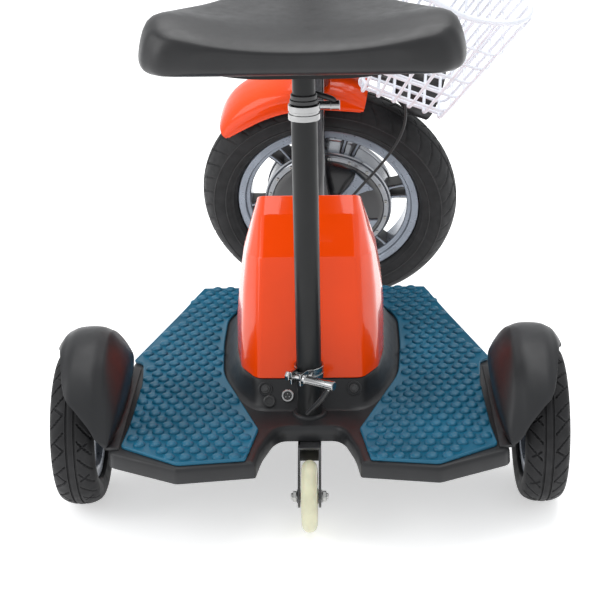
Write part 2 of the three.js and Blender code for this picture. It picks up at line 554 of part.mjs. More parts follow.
// ---- fork and front wheel, built upright along the steering axis ---------------------------------
const LEG_IN = 52;
const LEG_OUT = 64;
const CROWN_LOW = 247;
const CROWN_HIGH = 266;
const FRONT_AXLE_R = 6;
const legSide = [[-13, CROWN_HIGH], [15, CROWN_HIGH], [17, 200], [25, 60], [39, 8], [37, -10], [OFFSET,
  -18],
  [9, -10], [7, 8], [-4, 60], [-13, 200]];
add('fork', cut(
  join(
    sidePlate(legSide, LEG_IN, LEG_OUT), sidePlate(legSide, -LEG_OUT, -LEG_IN),
    box(-LEG_OUT, LEG_OUT, -16, 30, CROWN_LOW, CROWN_HIGH),
    rod(STEERER_R, V(0, 0, CROWN_HIGH - 2), V(0, 0, 430), 20)),
  rod(FRONT_AXLE_R + GAP, V(-80, OFFSET, 0), V(80, OFFSET, 0))), BLACK_PAINT, LEANED_STEERED);
add('headset_lower', sleeve(STEERER_R + GAP, HEAD_R + 1.5, V(0, 0, CROWN_HIGH + GAP), V(0, 0,
  HEAD_LOW - GAP)),
  STEEL, LEANED_STEERED);
const FOOT_LOW = 404;
add('headset_upper', sleeve(STEERER_R + GAP, HEAD_R + 1.5, V(0, 0, HEAD_HIGH + GAP), V(0, 0, FOOT_LOW)),
  STEEL, LEANED_STEERED);

const RIM_R = 147;
const SEAT_R = 140;
const fw = FRONT_W / 2;
add('tyre_front', turned(closedRing([
  [SEAT_R + GAP, -17.6], [147.5, -18.6], [148, -24.3], [152, -30], [161, -37.5], [175, -fw], [190, -36],
    [200, -25], [205.4, -12],
  [FRONT_R, 0]]), HUB, AXES.x, 30), RUBBER, LEANED_STEERED);
const MOTOR_R = 103;
const MOTOR_FACE = 24;
const COVER_R = 90;
const spoke = (a) => {
  const g = box(-11, 11, -4, 4, MOTOR_R - 6, 131);
  return at(g.applyMatrix4(new THREE.Matrix4().makeRotationX(rad(a))), HUB.x, HUB.y, HUB.z);
};
const SPOKE_HALF = 4.4;          // half the angle between the two spokes of a pair
add('wheel_front', join(
  turned(closedRing([[127, -14], [134, -24], [RIM_R, -24], [RIM_R, -19], [SEAT_R, -18]]), HUB, AXES.x, 30),
  turned([[FRONT_AXLE_R + GAP, -40], [24, -40], [30, -32], [84, -30], [94, -26], [MOTOR_R, -20],
    [MOTOR_R, 20],
    [98, 27], [COVER_R + GAP, 27], [COVER_R + GAP, MOTOR_FACE], [FRONT_AXLE_R + GAP, MOTOR_FACE],
    [FRONT_AXLE_R + GAP, -40]], HUB, AXES.x, 30),
  ...[0, 1, 2, 3, 4, 5].flatMap((i) => [-SPOKE_HALF, SPOKE_HALF].map((d) => spoke(42 + 60 * i + d))),
), SILVER, LEANED_STEERED);
const starArm = (a) => {
  const g = plate([[-12, 16], [12, 16], [17, 80], [-17, 80]], 0, 4);
  g.applyMatrix4(new THREE.Matrix4().makeBasis(AXES.y, AXES.z, AXES.x));
  g.applyMatrix4(new THREE.Matrix4().makeRotationX(rad(a)));
  return at(g, MOTOR_FACE + 5, OFFSET, 0);
};
add('hub_cover', join(
  turned([[FRONT_AXLE_R + GAP, MOTOR_FACE + GAP], [COVER_R, MOTOR_FACE + GAP], [COVER_R, 27], [82, 30],
    [40, 34],
    [26, 38], [FRONT_AXLE_R + GAP, 38], [FRONT_AXLE_R + GAP, MOTOR_FACE + GAP]], HUB, AXES.x, 30),
  ...[0, 1, 2, 3, 4].map((i) => starArm(-47 + 72 * i)),
), BLACK_PAINT, LEANED_STEERED);
const hubAt = (x) => V(x, OFFSET, 0);
add('front_axle', join(
  rod(FRONT_AXLE_R, hubAt(-76), hubAt(76)),
  ...[-1, 1].flatMap((s) => [
    hexagon(11, hubAt(s * (LEG_OUT + GAP)), hubAt(s * (LEG_OUT + 9))),
    rod(9, hubAt(s * (LEG_IN - GAP)), hubAt(s * 41))]),
), STEEL, LEANED_STEERED);

// ---- front fender --------------------------------------------------------------------------------
const FENDER_R = 242;
const frontOuter = [[50, 206], [50.5, 218], [45, 230], [32, 238], [15, 241.4]];
const frontInner = [[47.5, 206], [47.8, 217], [42.5, 227.5], [30.5, 235], [14.5, 238.4]];
const FENDER_START = 72;
const FENDER_END = 138;
const FENDER_TAPER = 15;         // the band narrows over this many degrees at each end
const frontRing = (deg) => {
  const near = Math.max(0, 1 - Math.min(deg - FENDER_START, FENDER_END - deg) / FENDER_TAPER);
  const place = ([x, wide]) => {
    const r = 218 + (wide - 218) * (1 - 0.65 * near * near);
    return V(x, OFFSET + r * Math.cos(rad(deg)), r * Math.sin(rad(deg)));
  };
  const halves = (points, r) => [...points, [0, r], ...points.slice().reverse().map(([x, q]) => [-x, q])];
  return [...halves(frontOuter, FENDER_R).map(place), ...halves(frontInner,
    FENDER_R - 3).reverse().map(place)];
};
add('fender_front', join(
  lofted(Array.from({ length: 11 }, (_,
    i) => frontRing(FENDER_START + ((FENDER_END - FENDER_START) * i) / 10))),
  rod(7, V(0, 0, FENDER_R - 3), V(0, 0, CROWN_LOW - GAP)),
), ORANGE, LEANED_STEERED);

// ---- folding stem --------------------------------------------------------------------------------
const HINGE_S = 458;
const PIN_R = 5;
const CLEVIS_IN = 11;
const CLEVIS_OUT = 17;
const LATCH_F = 24.5;
const LATCH_S = 431;
add('stem_foot', cut(
  join(
    rod(20, V(0, 0, FOOT_LOW + GAP), V(0, 0, 440), 20),
    ...[-1, 1].map((s) => box(...(s > 0 ? [CLEVIS_IN, CLEVIS_OUT] : [-CLEVIS_OUT, -CLEVIS_IN]), -14, 14,
      436, 472)),
    ...[-1, 1].map((s) => box(...(s > 0 ? [9, 12] : [-12, -9]), 12, 28.5, LATCH_S - 5, LATCH_S + 5)),
    rod(PIN_R, V(-CLEVIS_OUT - 3, 0, HINGE_S), V(CLEVIS_OUT + 3, 0, HINGE_S)),
    rod(2, V(-12, LATCH_F, LATCH_S), V(12, LATCH_F, LATCH_S), 12)),
  rod(STEERER_R + GAP, V(0, 0, FOOT_LOW - 5), V(0, 0, 431), 20)), BLACK_PAINT, LEANED_STEERED);
const STEM_R = 16;
const BAR_R = 11;
add('stem', cut(
  join(
    rod(14, V(-CLEVIS_IN + 0.4, 0, HINGE_S), V(CLEVIS_IN - 0.4, 0, HINGE_S), 16),
    box(-CLEVIS_IN + 0.4, CLEVIS_IN - 0.4, -13, 13, HINGE_S, 484),
    rod(STEM_R, V(0, 0, 480), V(0, 0, BAR_S), 20),
    rod(16.5, V(-23, 0, BAR_S), V(23, 0, BAR_S), 20),
    box(-6, 6, 12, LATCH_F - 2 - GAP, 488, 496)),
  rod(PIN_R + GAP, V(-30, 0, HINGE_S), V(30, 0, HINGE_S)),
  rod(BAR_R + GAP, V(-30, 0, BAR_S), V(30, 0, BAR_S), 16)), BLACK_PAINT, LEANED_STEERED);
add('stem_latch', cut(
  join(
    rod(4, V(-8.6, LATCH_F, LATCH_S), V(8.6, LATCH_F, LATCH_S), 16),
    box(-8.6, 8.6, LATCH_F - 2, LATCH_F + 2, LATCH_S, 512),
    box(-8.6, 8.6, LATCH_F - 2, LATCH_F + 9, 508, 512)),
  rod(2 + GAP, V(-10, LATCH_F, LATCH_S), V(10, LATCH_F, LATCH_S), 12)), CHROME, LEANED_STEERED);

// ---- handlebar and controls ----------------------------------------------------------------------
const BEND = V(165, -18, BAR_S + 26);
const BAR_END = V(300, -58, BAR_S + 32);
const flip = (p, s) => V(s * p.x, p.y, p.z);
const barPoints = [V(60, 0, BAR_S), V(112, -3, BAR_S + 16), BEND, BAR_END];
add('handlebar', swept(bentPath([...barPoints.slice().reverse().map((p) => flip(p, -1)), ...barPoints],
  20), BAR_R, 0, 14),
  STEEL, LEANED_STEERED);
const GRIP_LEN = 112;
const GRIP_R = 16;
const endDir = (s) => flip(BAR_END.clone().sub(BEND).normalize(), s);
const onGrip = (s, d) => flip(BAR_END, s).addScaledVector(endDir(s), d);
const grip = (s) => turned([
  [BAR_R + GAP + 0.4, -GRIP_LEN], [GRIP_R + 4, -GRIP_LEN], [GRIP_R + 4, -GRIP_LEN + 5], [GRIP_R,
    -GRIP_LEN + 7],
  [GRIP_R, 2], [12, 5], [0, 5], [0, GAP + 0.4], [BAR_R + GAP + 0.4, GAP + 0.4], [BAR_R + GAP + 0.4,
    -GRIP_LEN]],
onGrip(s, 0), endDir(s), 16);
add('grip_left', grip(-1), RUBBER, LEANED_STEERED);
add('throttle_grip', grip(1), RUBBER, LEANED_STEERED);

// brake lever and its perch, ahead of the left grip
const perchAt = (d, f, s = 0) => onGrip(-1, d).add(V(0, f, s));
const LEVER_F = 27;
const LEVER_D = -GRIP_LEN - 12;
add('brake_perch', cut(
  join(
    rod(16.5, perchAt(-GRIP_LEN - 20, 0), perchAt(-GRIP_LEN - 4, 0), 16),
    at(new THREE.BoxGeometry(14, 24, 4), perchAt(LEVER_D, 16).x, perchAt(LEVER_D, 16).y, perchAt(LEVER_D,
      16).z + 7),
    at(new THREE.BoxGeometry(14, 24, 4), perchAt(LEVER_D, 16).x, perchAt(LEVER_D, 16).y, perchAt(LEVER_D,
      16).z - 7),
    rod(2.5, perchAt(LEVER_D, LEVER_F, -9), perchAt(LEVER_D, LEVER_F, 9), 12)),
  rod(BAR_R + GAP + 0.4, perchAt(-GRIP_LEN - 40, 0), perchAt(-GRIP_LEN + 6, 0), 16)), BLACK_PLASTIC,
    LEANED_STEERED);
add('brake_lever', cut(
  join(
    rod(6, perchAt(LEVER_D, LEVER_F, -4.6), perchAt(LEVER_D, LEVER_F, 4.6), 16),
    swept(new THREE.CatmullRomCurve3([perchAt(LEVER_D, LEVER_F + 5), perchAt(-GRIP_LEN + 14, LEVER_F + 21),
      perchAt(-60, LEVER_F + 21), perchAt(-8, LEVER_F + 17)]), 4.2, 9, 8)),
  rod(2.5 + GAP, perchAt(LEVER_D, LEVER_F, -12), perchAt(LEVER_D, LEVER_F, 12), 12)), SILVER,
    LEANED_STEERED);
const CONSOLE_LOW = BAR_S + 16.5 + GAP;
const CONSOLE_TOP = CONSOLE_LOW + 22;
const KEY_X = 29;
add('console', cut(
  box(-44, 44, -24, 24, CONSOLE_LOW, CONSOLE_TOP),
  rod(7 + GAP, V(KEY_X, 0, CONSOLE_TOP - 10), V(KEY_X, 0, CONSOLE_TOP + 5)),
  rod(7 + GAP, V(-KEY_X, 0, CONSOLE_TOP - 10), V(-KEY_X, 0, CONSOLE_TOP + 5))), BLACK_PLASTIC,
    LEANED_STEERED);
add('key_switch', join(
  rod(7, V(KEY_X, 0, CONSOLE_TOP - 8), V(KEY_X, 0, CONSOLE_TOP + 2)),
  box(KEY_X - 1, KEY_X + 1, -4.5, 4.5, CONSOLE_TOP + 1, CONSOLE_TOP + 14),
  box(KEY_X - 1.4, KEY_X + 1.4, -10, 10, CONSOLE_TOP + 13, CONSOLE_TOP + 28)), STEEL, LEANED_STEERED);
add('horn_button', turned([[0, -6], [7, -6], [7, 3], [5.5, 4.5], [0, 5]], V(-KEY_X, 0, CONSOLE_TOP),
  AXES.z, 20),
  ORANGE, LEANED_STEERED);
add('brake_cable', swept(new THREE.CatmullRomCurve3([
  perchAt(-GRIP_LEN - 20 - GAP, 0, 0).add(V(7, 17, 0)), V(-120, 22, BAR_S + 22), V(-70, 42, BAR_S - 2),
  V(-22, 40, BAR_S - 44), V(0, 30, BAR_S - 60), V(0, STEM_R + GAP, BAR_S - 62)]), 2.4, 14, 6), RUBBER,
    LEANED_STEERED);
add('motor_cable', swept(new THREE.CatmullRomCurve3([
  V(69, OFFSET + 18, 6), V(67, OFFSET + 34, 40), V(55, OFFSET + 98, 128), V(52, OFFSET + 122, 190), V(44,
    OFFSET + 112, 245),
  V(34, OFFSET + 62, 264), V(30, 33, 258)]), 2.6, 18, 6), RUBBER, LEANED_STEERED);

// ---- headlight, basket and their brackets, drawn with the wheel straight ahead -------------------
const LAMP_Z = 458;
add('headlight', join(
  turned([[0, 676], [14, 676], [30, 690], [40, 708], [43, 726], [43, 742], [39, 742], [38, 736], [0, 736]],
    V(0, 0, LAMP_Z), AXES.y, 20),
  box(-11, 11, 575.6, 690, 452, 456)), BLACK_PLASTIC, STEERED);
add('headlight_lens', turned([[0, 736 + GAP], [37.5, 736 + GAP], [37.5, 740], [26, 743], [0, 744]],
  V(0, 0, LAMP_Z), AXES.y, 20), GLASS, STEERED);

const WIRE_R = 2.2;
const RIM_WIRE_R = 4.4;
const low = { x: 138, back: 606, front: 740 };
const high = { x: 160, back: 602, front: 782 };
const mix = (a, b, k) => a + (b - a) * k;
const basketLoop = (z, dip = 0) => {
  const k = (z - BASKET_LOW) / (BASKET_HIGH - BASKET_LOW);
  const x = mix(low.x, high.x, k);
  const y0 = mix(low.back, high.back, k);
  const y1 = mix(low.front, high.front, k);
  return [V(x, y0, z + dip), V(x, (y0 + y1) / 2, z - dip), V(x, y1, z + dip), V(-x, y1, z + dip),
    V(-x, (y0 + y1) / 2, z - dip), V(-x, y0, z + dip)];
};
const hoops = [BASKET_LOW + 18, 586, 646].map((z) => swept(bentPath(basketLoop(z), 26, true), WIRE_R, 0,
  3));
const rim = swept(bentPath(basketLoop(BASKET_HIGH, 14), 44, true), RIM_WIRE_R, 0, 8);
const uWire = (lo, hi) => swept(bentPath([hi[0], lo[0], lo[1], hi[1]], 9), WIRE_R, 0, 3);
const alongX = [0.14, 0.38, 0.62, 0.86].map((k) => {
  const yl = mix(low.back, low.front, k);
  const yh = mix(high.back, high.front, k);
  return uWire([V(-low.x, yl, BASKET_LOW), V(low.x, yl, BASKET_LOW)],
    [V(-high.x, yh, BASKET_HIGH - 14 + 22 * Math.abs(2 * k - 1)), V(high.x, yh,
      BASKET_HIGH - 14 + 22 * Math.abs(2 * k - 1))]);
});
const alongY = [-0.72, -0.24, 0.24, 0.72].map((k) =>
  uWire([V(k * low.x, low.back, BASKET_LOW), V(k * low.x, low.front, BASKET_LOW)],
    [V(k * high.x, high.back, BASKET_HIGH + 13), V(k * high.x, high.front, BASKET_HIGH + 13)]));
add('basket', join(...hoops, rim, ...alongX, ...alongY), WHITE, STEERED);
const ringOnFoot = sleeve(20 + GAP, 24, V(0, 0, 407), V(0, 0, 419)).applyMatrix4(LEAN);
add('basket_bracket', cut(
  join(ringOnFoot, box(-14, 14, 514, 596, 585, 590), box(-50, 50, 592.5, 596, 560, 650)),
  rod(20 + GAP, onAxis(380), onAxis(436), 20)), BLACK_PAINT, STEERED);

// ---- origin under the middle of the whole scooter ------------------------------------------------
const bounds = new THREE.Box3().setFromObject(scooter);
const middle = bounds.getCenter(V(0, 0, 0));
scooter.children.forEach((mesh) => mesh.geometry.translate(-middle.x, -middle.y, -bounds.min.z));

export default scooter;
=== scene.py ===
"""A folding three-wheeled electric seat scooter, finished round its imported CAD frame."""
import json
import math

import bmesh
import bpy
from mathutils import Matrix, Vector


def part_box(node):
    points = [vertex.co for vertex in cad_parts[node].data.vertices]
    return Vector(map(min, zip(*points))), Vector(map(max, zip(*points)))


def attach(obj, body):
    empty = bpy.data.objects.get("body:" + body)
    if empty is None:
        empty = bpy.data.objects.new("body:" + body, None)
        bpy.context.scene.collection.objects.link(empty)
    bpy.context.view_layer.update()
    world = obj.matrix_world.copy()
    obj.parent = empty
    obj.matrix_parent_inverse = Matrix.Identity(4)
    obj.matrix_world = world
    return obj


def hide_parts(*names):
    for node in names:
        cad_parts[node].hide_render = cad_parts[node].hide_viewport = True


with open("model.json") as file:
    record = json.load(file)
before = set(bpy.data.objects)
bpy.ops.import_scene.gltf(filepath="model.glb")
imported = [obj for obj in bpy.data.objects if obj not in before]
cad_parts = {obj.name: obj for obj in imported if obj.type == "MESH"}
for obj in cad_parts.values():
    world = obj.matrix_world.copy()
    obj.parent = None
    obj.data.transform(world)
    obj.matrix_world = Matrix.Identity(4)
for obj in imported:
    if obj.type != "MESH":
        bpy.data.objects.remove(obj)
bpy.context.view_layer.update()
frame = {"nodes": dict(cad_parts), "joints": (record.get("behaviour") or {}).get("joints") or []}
scene = bpy.context.scene

# ---- where the machine stands --------------------------------------------------------------------
# Sizes below are millimetres. CHASSIS starts on the ground under the seat post's centre plane and
# the rear axle; STEERING lies on the fork, with X across the wheel, Y ahead and Z up its steerer;
# STRAIGHT is the chassis carried round with the fork, as if it had been drawn with no steering lock.
MM = 0.001


def middle(node):
    low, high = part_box(node)
    return (low + high) / 2


joints = {joint["name"]: joint for joint in frame["joints"]}
foot = Vector((middle("post_tube").x, middle("rim_rear_left").y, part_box("tyre_rear_left")[0].z))
pivot = Vector(joints["steering_turn"]["pos_m"])
steerer_line = Vector(joints["steering_turn"]["axis"]).normalized()
across = Vector(joints["front_wheel_spin"]["axis"]).normalized()
ahead = steerer_line.cross(across)
lock = steerer_line.cross(Vector((1, 0, 0))).angle(ahead)

CHASSIS = Matrix.Translation(foot) @ Matrix.Scale(MM, 4)
STEERING = (Matrix.Translation(pivot) @ Matrix((across, ahead, steerer_line)).transposed().to_4x4()
            @ Matrix.Scale(MM, 4))
STRAIGHT = (Matrix.Translation(pivot) @ Matrix.Rotation(-lock, 4, steerer_line)
            @ Matrix.Translation(-pivot) @ CHASSIS)

# ---- camera, floor and lights --------------------------------------------------------------------
# A tall stand-back view from behind and above, on a seamless pale floor in a bright soft studio.
LENS = 91.4
VIEW_DOWN = math.radians(21.96)
VIEW_LEFT = math.radians(1.68)
VIEW_ROLL = math.radians(1.2)
VIEW_FROM = (41.1, -1738, 970.4)
FLOOR_HALF = 9                   # metres
PAPER_GLOW = 0.5

camera = bpy.data.objects.new("camera", bpy.data.cameras.new("camera"))
camera.data.lens = LENS
camera.data.clip_end = 50
camera.location = CHASSIS @ Vector(VIEW_FROM)
camera.rotation_mode = "QUATERNION"
look = Vector((-math.sin(VIEW_LEFT) * math.cos(VIEW_DOWN), math.cos(VIEW_LEFT) * math.cos(VIEW_DOWN),
               -math.sin(VIEW_DOWN)))
camera.rotation_quaternion = look.to_track_quat("-Z", "Y")
camera.rotation_quaternion = (Matrix.Rotation(VIEW_ROLL, 3, look)
                              @ camera.rotation_quaternion.to_matrix()).to_quaternion()
scene.collection.objects.link(camera)
scene.camera = camera

floor_mesh = bpy.data.meshes.new("floor")
floor_mesh.from_pydata([(-FLOOR_HALF, -FLOOR_HALF, 0), (FLOOR_HALF, -FLOOR_HALF, 0),
                        (FLOOR_HALF, FLOOR_HALF, 0), (-FLOOR_HALF, FLOOR_HALF, 0)], [], [(0, 1, 2, 3)])
floor = bpy.data.objects.new("floor", floor_mesh)
scene.collection.objects.link(floor)
paper = bpy.data.materials.new("pale_paper")
paper.use_nodes = True
for socket, value in (("Base Color", (0.93, 0.93, 0.93, 1)), ("Roughness", 0.9), ("Specular IOR Level", 0.1),
                      ("Emission Color", (1, 1, 1, 1)), ("Emission Strength", PAPER_GLOW)):
    paper.node_tree.nodes["Principled BSDF"].inputs[socket].default_value = value
floor.data.materials.append(paper)

world = bpy.data.worlds.new("studio")
world.use_nodes = True
world.node_tree.nodes["Background"].inputs["Color"].default_value = (0.97, 0.985, 1, 1)
world.node_tree.nodes["Background"].inputs["Strength"].default_value = 0.85
scene.world = world
scene.view_settings.view_transform = "Standard"


def soft_light(name, place, aim, size, power):
    lamp = bpy.data.lights.new(name, "AREA")
    lamp.shape = "RECTANGLE"
    lamp.size, lamp.size_y = size
    lamp.energy = power
    light = bpy.data.objects.new(name, lamp)
    light.location = place
    light.rotation_euler = (Vector(aim) - Vector(place)).to_track_quat("-Z", "Y").to_euler()
    scene.collection.objects.link(light)


soft_light("overhead", (0.1, 0.3, 2.6), (0, 0, 0.3), (2.2, 2.2), 42)
soft_light("left_window", (-2.2, -0.9, 1.5), (0, 0, 0.4), (1.4, 1.8), 20)

# ---- welded chassis ------------------------------------------------------------------------------
# Two square rails, cross bars, the axle beam, the post socket and the swept neck that carries the
# head tube: mild steel, welded and stove-enamelled gloss black.


def noise_of(tree, coords, size, detail=2.0):
    """Noise whose blotches are about size millimetres across."""
    made = tree.nodes.new("ShaderNodeTexNoise")
    made.inputs["Scale"].default_value = 1 / (size * MM)
    made.inputs["Detail"].default_value = detail
    tree.links.new(coords, made.inputs["Vector"])
    return made.outputs["Fac"]


def spread(tree, value, low, high, start=0.3, end=0.7):
    """A value carried from the range start..end into low..high."""
    made = tree.nodes.new("ShaderNodeMapRange")
    for socket, number in (("From Min", start), ("From Max", end), ("To Min", low), ("To Max", high)):
        made.inputs[socket].default_value = number
    tree.links.new(value, made.inputs["Value"])
    return made.outputs["Result"]


def blended(tree, amount, first, second):
    """Two colours mixed by a value."""
    made = tree.nodes.new("ShaderNodeMix")
    made.data_type = "RGBA"
    tree.links.new(amount, made.inputs["Factor"])
    for socket, colour in (("A", first), ("B", second)):
        target = [s for s in made.inputs if s.name == socket and s.type == "RGBA"][0]
        if hasattr(colour, "links"):
            tree.links.new(colour, target)
        else:
            target.default_value = (*colour, 1)
    return [s for s in made.outputs if s.type == "RGBA"][0]


def finish(name, colour, rough, metal=0.0, grain=(1.0, 0.02), blotch=(45, 0.12), worn=0.0, sockets=()):
    """A surface with a fine grain, faint blotches of tone and sheen, and edges rubbed lighter.

    grain is (width, height) of the finest bumps, blotch is (width, share of the tone).
    """
    material = bpy.data.materials.new(name)
    material.use_nodes = True
    tree = material.node_tree
    shader = tree.nodes["Principled BSDF"]
    coords = tree.nodes.new("ShaderNodeTexCoord").outputs["Object"]
    size, share = blotch
    patches = spread(tree, noise_of(tree, coords, size, 4), 0, 1)
    dark = [c * (1 - share) for c in colour]
    light = [min(c * (1 + share), 1) for c in colour]
    tone = blended(tree, patches, dark, light)
    if worn:
        edge = tree.nodes.new("ShaderNodeNewGeometry").outputs["Pointiness"]
        rubbed = [min(c + worn, 1) for c in colour]
        tone = blended(tree, spread(tree, edge, 0, 0.8, 0.52, 0.62), tone, rubbed)
    tree.links.new(tone, shader.inputs["Base Color"])
    smudge = noise_of(tree, coords, size * 0.4, 3)
    tree.links.new(spread(tree, smudge, rough * 0.85, rough * 1.15), shader.inputs["Roughness"])
    shader.inputs["Metallic"].default_value = metal
    for socket, value in sockets:
        shader.inputs[socket].default_value = value
    bump = tree.nodes.new("ShaderNodeBump")
    bump.inputs["Distance"].default_value = grain[1] * MM
    bump.inputs["Strength"].default_value = 1
    tree.links.new(noise_of(tree, coords, grain[0], 3), bump.inputs["Height"])
    tree.links.new(bump.outputs["Normal"], shader.inputs["Normal"])
    return material


def block(x0, x1, y0, y1, z0, z1):
    """A square-edged bar between two corners."""
    points = [(x, y, z) for z in (z0, z1) for x, y in ((x0, y0), (x1, y0), (x1, y1), (x0, y1))]
    return points, [(0, 3, 2, 1), (4, 5, 6, 7), (0, 1, 5, 4), (1, 2, 6, 5), (2, 3, 7, 6), (3, 0, 4, 7)]


def loft(rings, ends=True):
    """A skin through rings of equal point counts."""
    count = len(rings[0])
    points = [Vector(p) for ring in rings for p in ring]
    faces = []
    for k in range(len(rings) - 1):
        for i in range(count):
            a, b = k * count + i, k * count + (i + 1) % count
            faces.append((a, b, b + count, a + count))
    if ends:
        faces.append(tuple(range(count - 1, -1, -1)))
        faces.append(tuple(range((len(rings) - 1) * count, len(rings) * count)))
    return points, faces


def turned(profile, centre, axis, steps=64):
    """A (radius, height) profile turned round an axis through centre."""
    axis = Vector(axis).normalized()
    side = axis.orthogonal().normalized()
    up = axis.cross(side)
    count = len(profile)
    points, faces = [], []
    for i in range(steps):
        angle = 2 * math.pi * i / steps
        out = side * math.cos(angle) + up * math.sin(angle)
        points += [Vector(centre) + axis * h + out * r for r, h in profile]
        j = (i + 1) % steps
        faces += [(i * count + k, j * count + k, j * count + k + 1, i * count + k + 1)
                  for k in range(count - 1)]
    return points, faces


def rod(radius, start, end, steps=32, edge=0.6):
    """A round bar with broken edges."""
    start, end = Vector(start), Vector(end)
    length = (end - start).length
    return turned([(0, 0), (radius - edge, 0), (radius, edge), (radius, length - edge),
                   (radius - edge, length), (0, length)], start, end - start, steps)


def smooth(points, steps, closed=False):
    """A Catmull-Rom line through points, with steps pieces to a span."""
    points = [Vector(p) for p in points]
    count = len(points)
    line = []
    for i in range(count if closed else count - 1):
        if closed:
            a, b, c, d = (points[(i + k) % count] for k in (-1, 0, 1, 2))
        else:
            b, c = points[i], points[i + 1]
            a = points[i - 1] if i else b * 2 - c
            d = points[i + 2] if i + 2 < count else c * 2 - b
        for k in range(steps):
            t = k / steps
            line.append((b * 2 + (c - a) * t + (a * 2 - b * 5 + c * 4 - d) * t * t
                         + (b * 3 - a - c * 3 + d) * t ** 3) / 2)
    if not closed:
        line.append(points[-1])
    return line


def tube(path, radius, sides=16, closed=False):
    """A round wire or tube along a path; radius is one number, or one for each point."""
    path = [Vector(p) for p in path]
    count = len(path)
    radii = radius if isinstance(radius, (list, tuple)) else [radius] * count
    ways = []
    for i in range(count):
        before = path[i - 1] if closed or i else path[0]
        after = path[(i + 1) % count] if closed or i + 1 < count else path[-1]
        ways.append((after - before).normalized())
    normal = ways[0].orthogonal().normalized()
    normals = []
    for i in range(count):
        if i:
            normal = ways[i - 1].rotation_difference(ways[i]) @ normal
        normals.append(normal.copy())
    slip = 0.0
    if closed:
        last = ways[-1].rotation_difference(ways[0]) @ normal
        slip = math.atan2(ways[0].dot(last.cross(normals[0])), last.dot(normals[0]))
    rings = []
    for i in range(count):
        turn = Matrix.Rotation(slip * i / count, 3, ways[i])
        u = turn @ normals[i]
        v = ways[i].cross(u)
        rings.append([path[i] + (u * math.cos(2 * math.pi * k / sides)
                                 + v * math.sin(2 * math.pi * k / sides)) * radii[i] for k in range(sides)])
    if closed:
        rings.append(rings[0])
    return loft(rings, ends=not closed)


def build(name, shapes, place, body, material, stands_for=(), bevel=0.0, sharp=35):
    """One piece from its shapes: merged, shaded, painted, and riding on its body."""
    made = bmesh.new()
    for points, faces in shapes:
        corners = [made.verts.new(place @ Vector(p)) for p in points]
        for face in faces:
            made.faces.new([corners[i] for i in face])
    bmesh.ops.remove_doubles(made, verts=made.verts, dist=0.002 * MM)
    bmesh.ops.recalc_face_normals(made, faces=made.faces)
    mesh = bpy.data.meshes.new(name)
    made.to_mesh(mesh)
    made.free()
    mesh.polygons.foreach_set("use_smooth", [True] * len(mesh.polygons))
    mesh.set_sharp_from_angle(angle=math.radians(sharp))
    mesh.materials.append(material)
    piece = bpy.data.objects.new(name, mesh)
    scene.collection.objects.link(piece)
    if bevel:
        edges = piece.modifiers.new("broken_edges", "BEVEL")
        edges.width = bevel * MM
        edges.segments = 3
        edges.angle_limit = math.radians(sharp)
        edges.harden_normals = True
    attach(piece, body)
    if stands_for:
        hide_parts(*stands_for)
    return piece


def dress(material, *nodes):
    """CAD pieces whose own shape is right get their finish, with smooth rounds and broken edges."""
    for node in nodes:
        piece = frame["nodes"][node]
        piece.data.materials.clear()
        piece.data.materials.append(material)
        edges = piece.modifiers.new("broken_edges", "BEVEL")
        edges.width = 0.4 * MM
        edges.segments = 2
        edges.angle_limit = math.radians(40)
        edges.use_clamp_overlap = True


DECK_TOP = 124
RAIL_TOP = 117.7
RAIL_LOW = 93.7
POST_Y = -20
AXLE_Z = 100
NECK_R = 19
HEAD_LOW = 272
HEAD_HIGH = 398
neck_line = [(0, 388, 96), (0, 386, 200), (0, 391, 290), (0, 420, 352), (0, 452, 404), (0, 470, 450),
             (0, 500, 490), (0, 521, 505)]
enamel = finish("black_enamel", (0.012, 0.012, 0.014), 0.22, 0, (2.5, 0.012), (60, 0.2), 0.03,
                [("Coat Weight", 0.6), ("Coat Roughness", 0.12)])
build("welded_frame", [
    *[block(s * 48 - 15, s * 48 + 15, -32, 399, RAIL_LOW, RAIL_TOP) for s in (-1, 1)],
    *[block(-33, 33, y, y + 24, RAIL_LOW, RAIL_TOP) for y in (180, 375)],
    block(-250, 250, -14, 14, AXLE_Z - 14, AXLE_Z + 14),
    block(-33, 33, -32, -14, 103.7, RAIL_TOP),
    turned([(0, 92), (19.5, 92), (19.5, RAIL_TOP), (15.7, RAIL_TOP), (15.7, 95.7), (0, 95.7)],
           (0, POST_Y, 0), (0, 0, 1)),
    tube(smooth(neck_line, 8), NECK_R, 40),
], CHASSIS, "chassis", enamel, ["frame"], bevel=1.5)
bead = [(NECK_R + 1 + 1.1 * math.sin(40 * a)) for a in (2 * math.pi * i / 120 for i in range(120))]
build("neck_weld", [
    tube([(bead[i] * math.cos(2 * math.pi * i / 120), 388 + bead[i] * math.sin(2 * math.pi * i / 120),
           RAIL_TOP + 1.5) for i in range(120)], 2.4, 10, closed=True)],
      CHASSIS, "chassis", enamel)
build("head_tube", [turned([
    (14.6, HEAD_LOW), (22.5, HEAD_LOW), (22.5, HEAD_LOW + 8), (21, HEAD_LOW + 10), (21, HEAD_HIGH - 10),
    (22.5, HEAD_HIGH - 8), (22.5, HEAD_HIGH), (14.6, HEAD_HIGH), (14.6, HEAD_LOW)], (0, 0, 0), (0, 0, 1))],
      STEERING, "chassis", enamel, bevel=0.6)

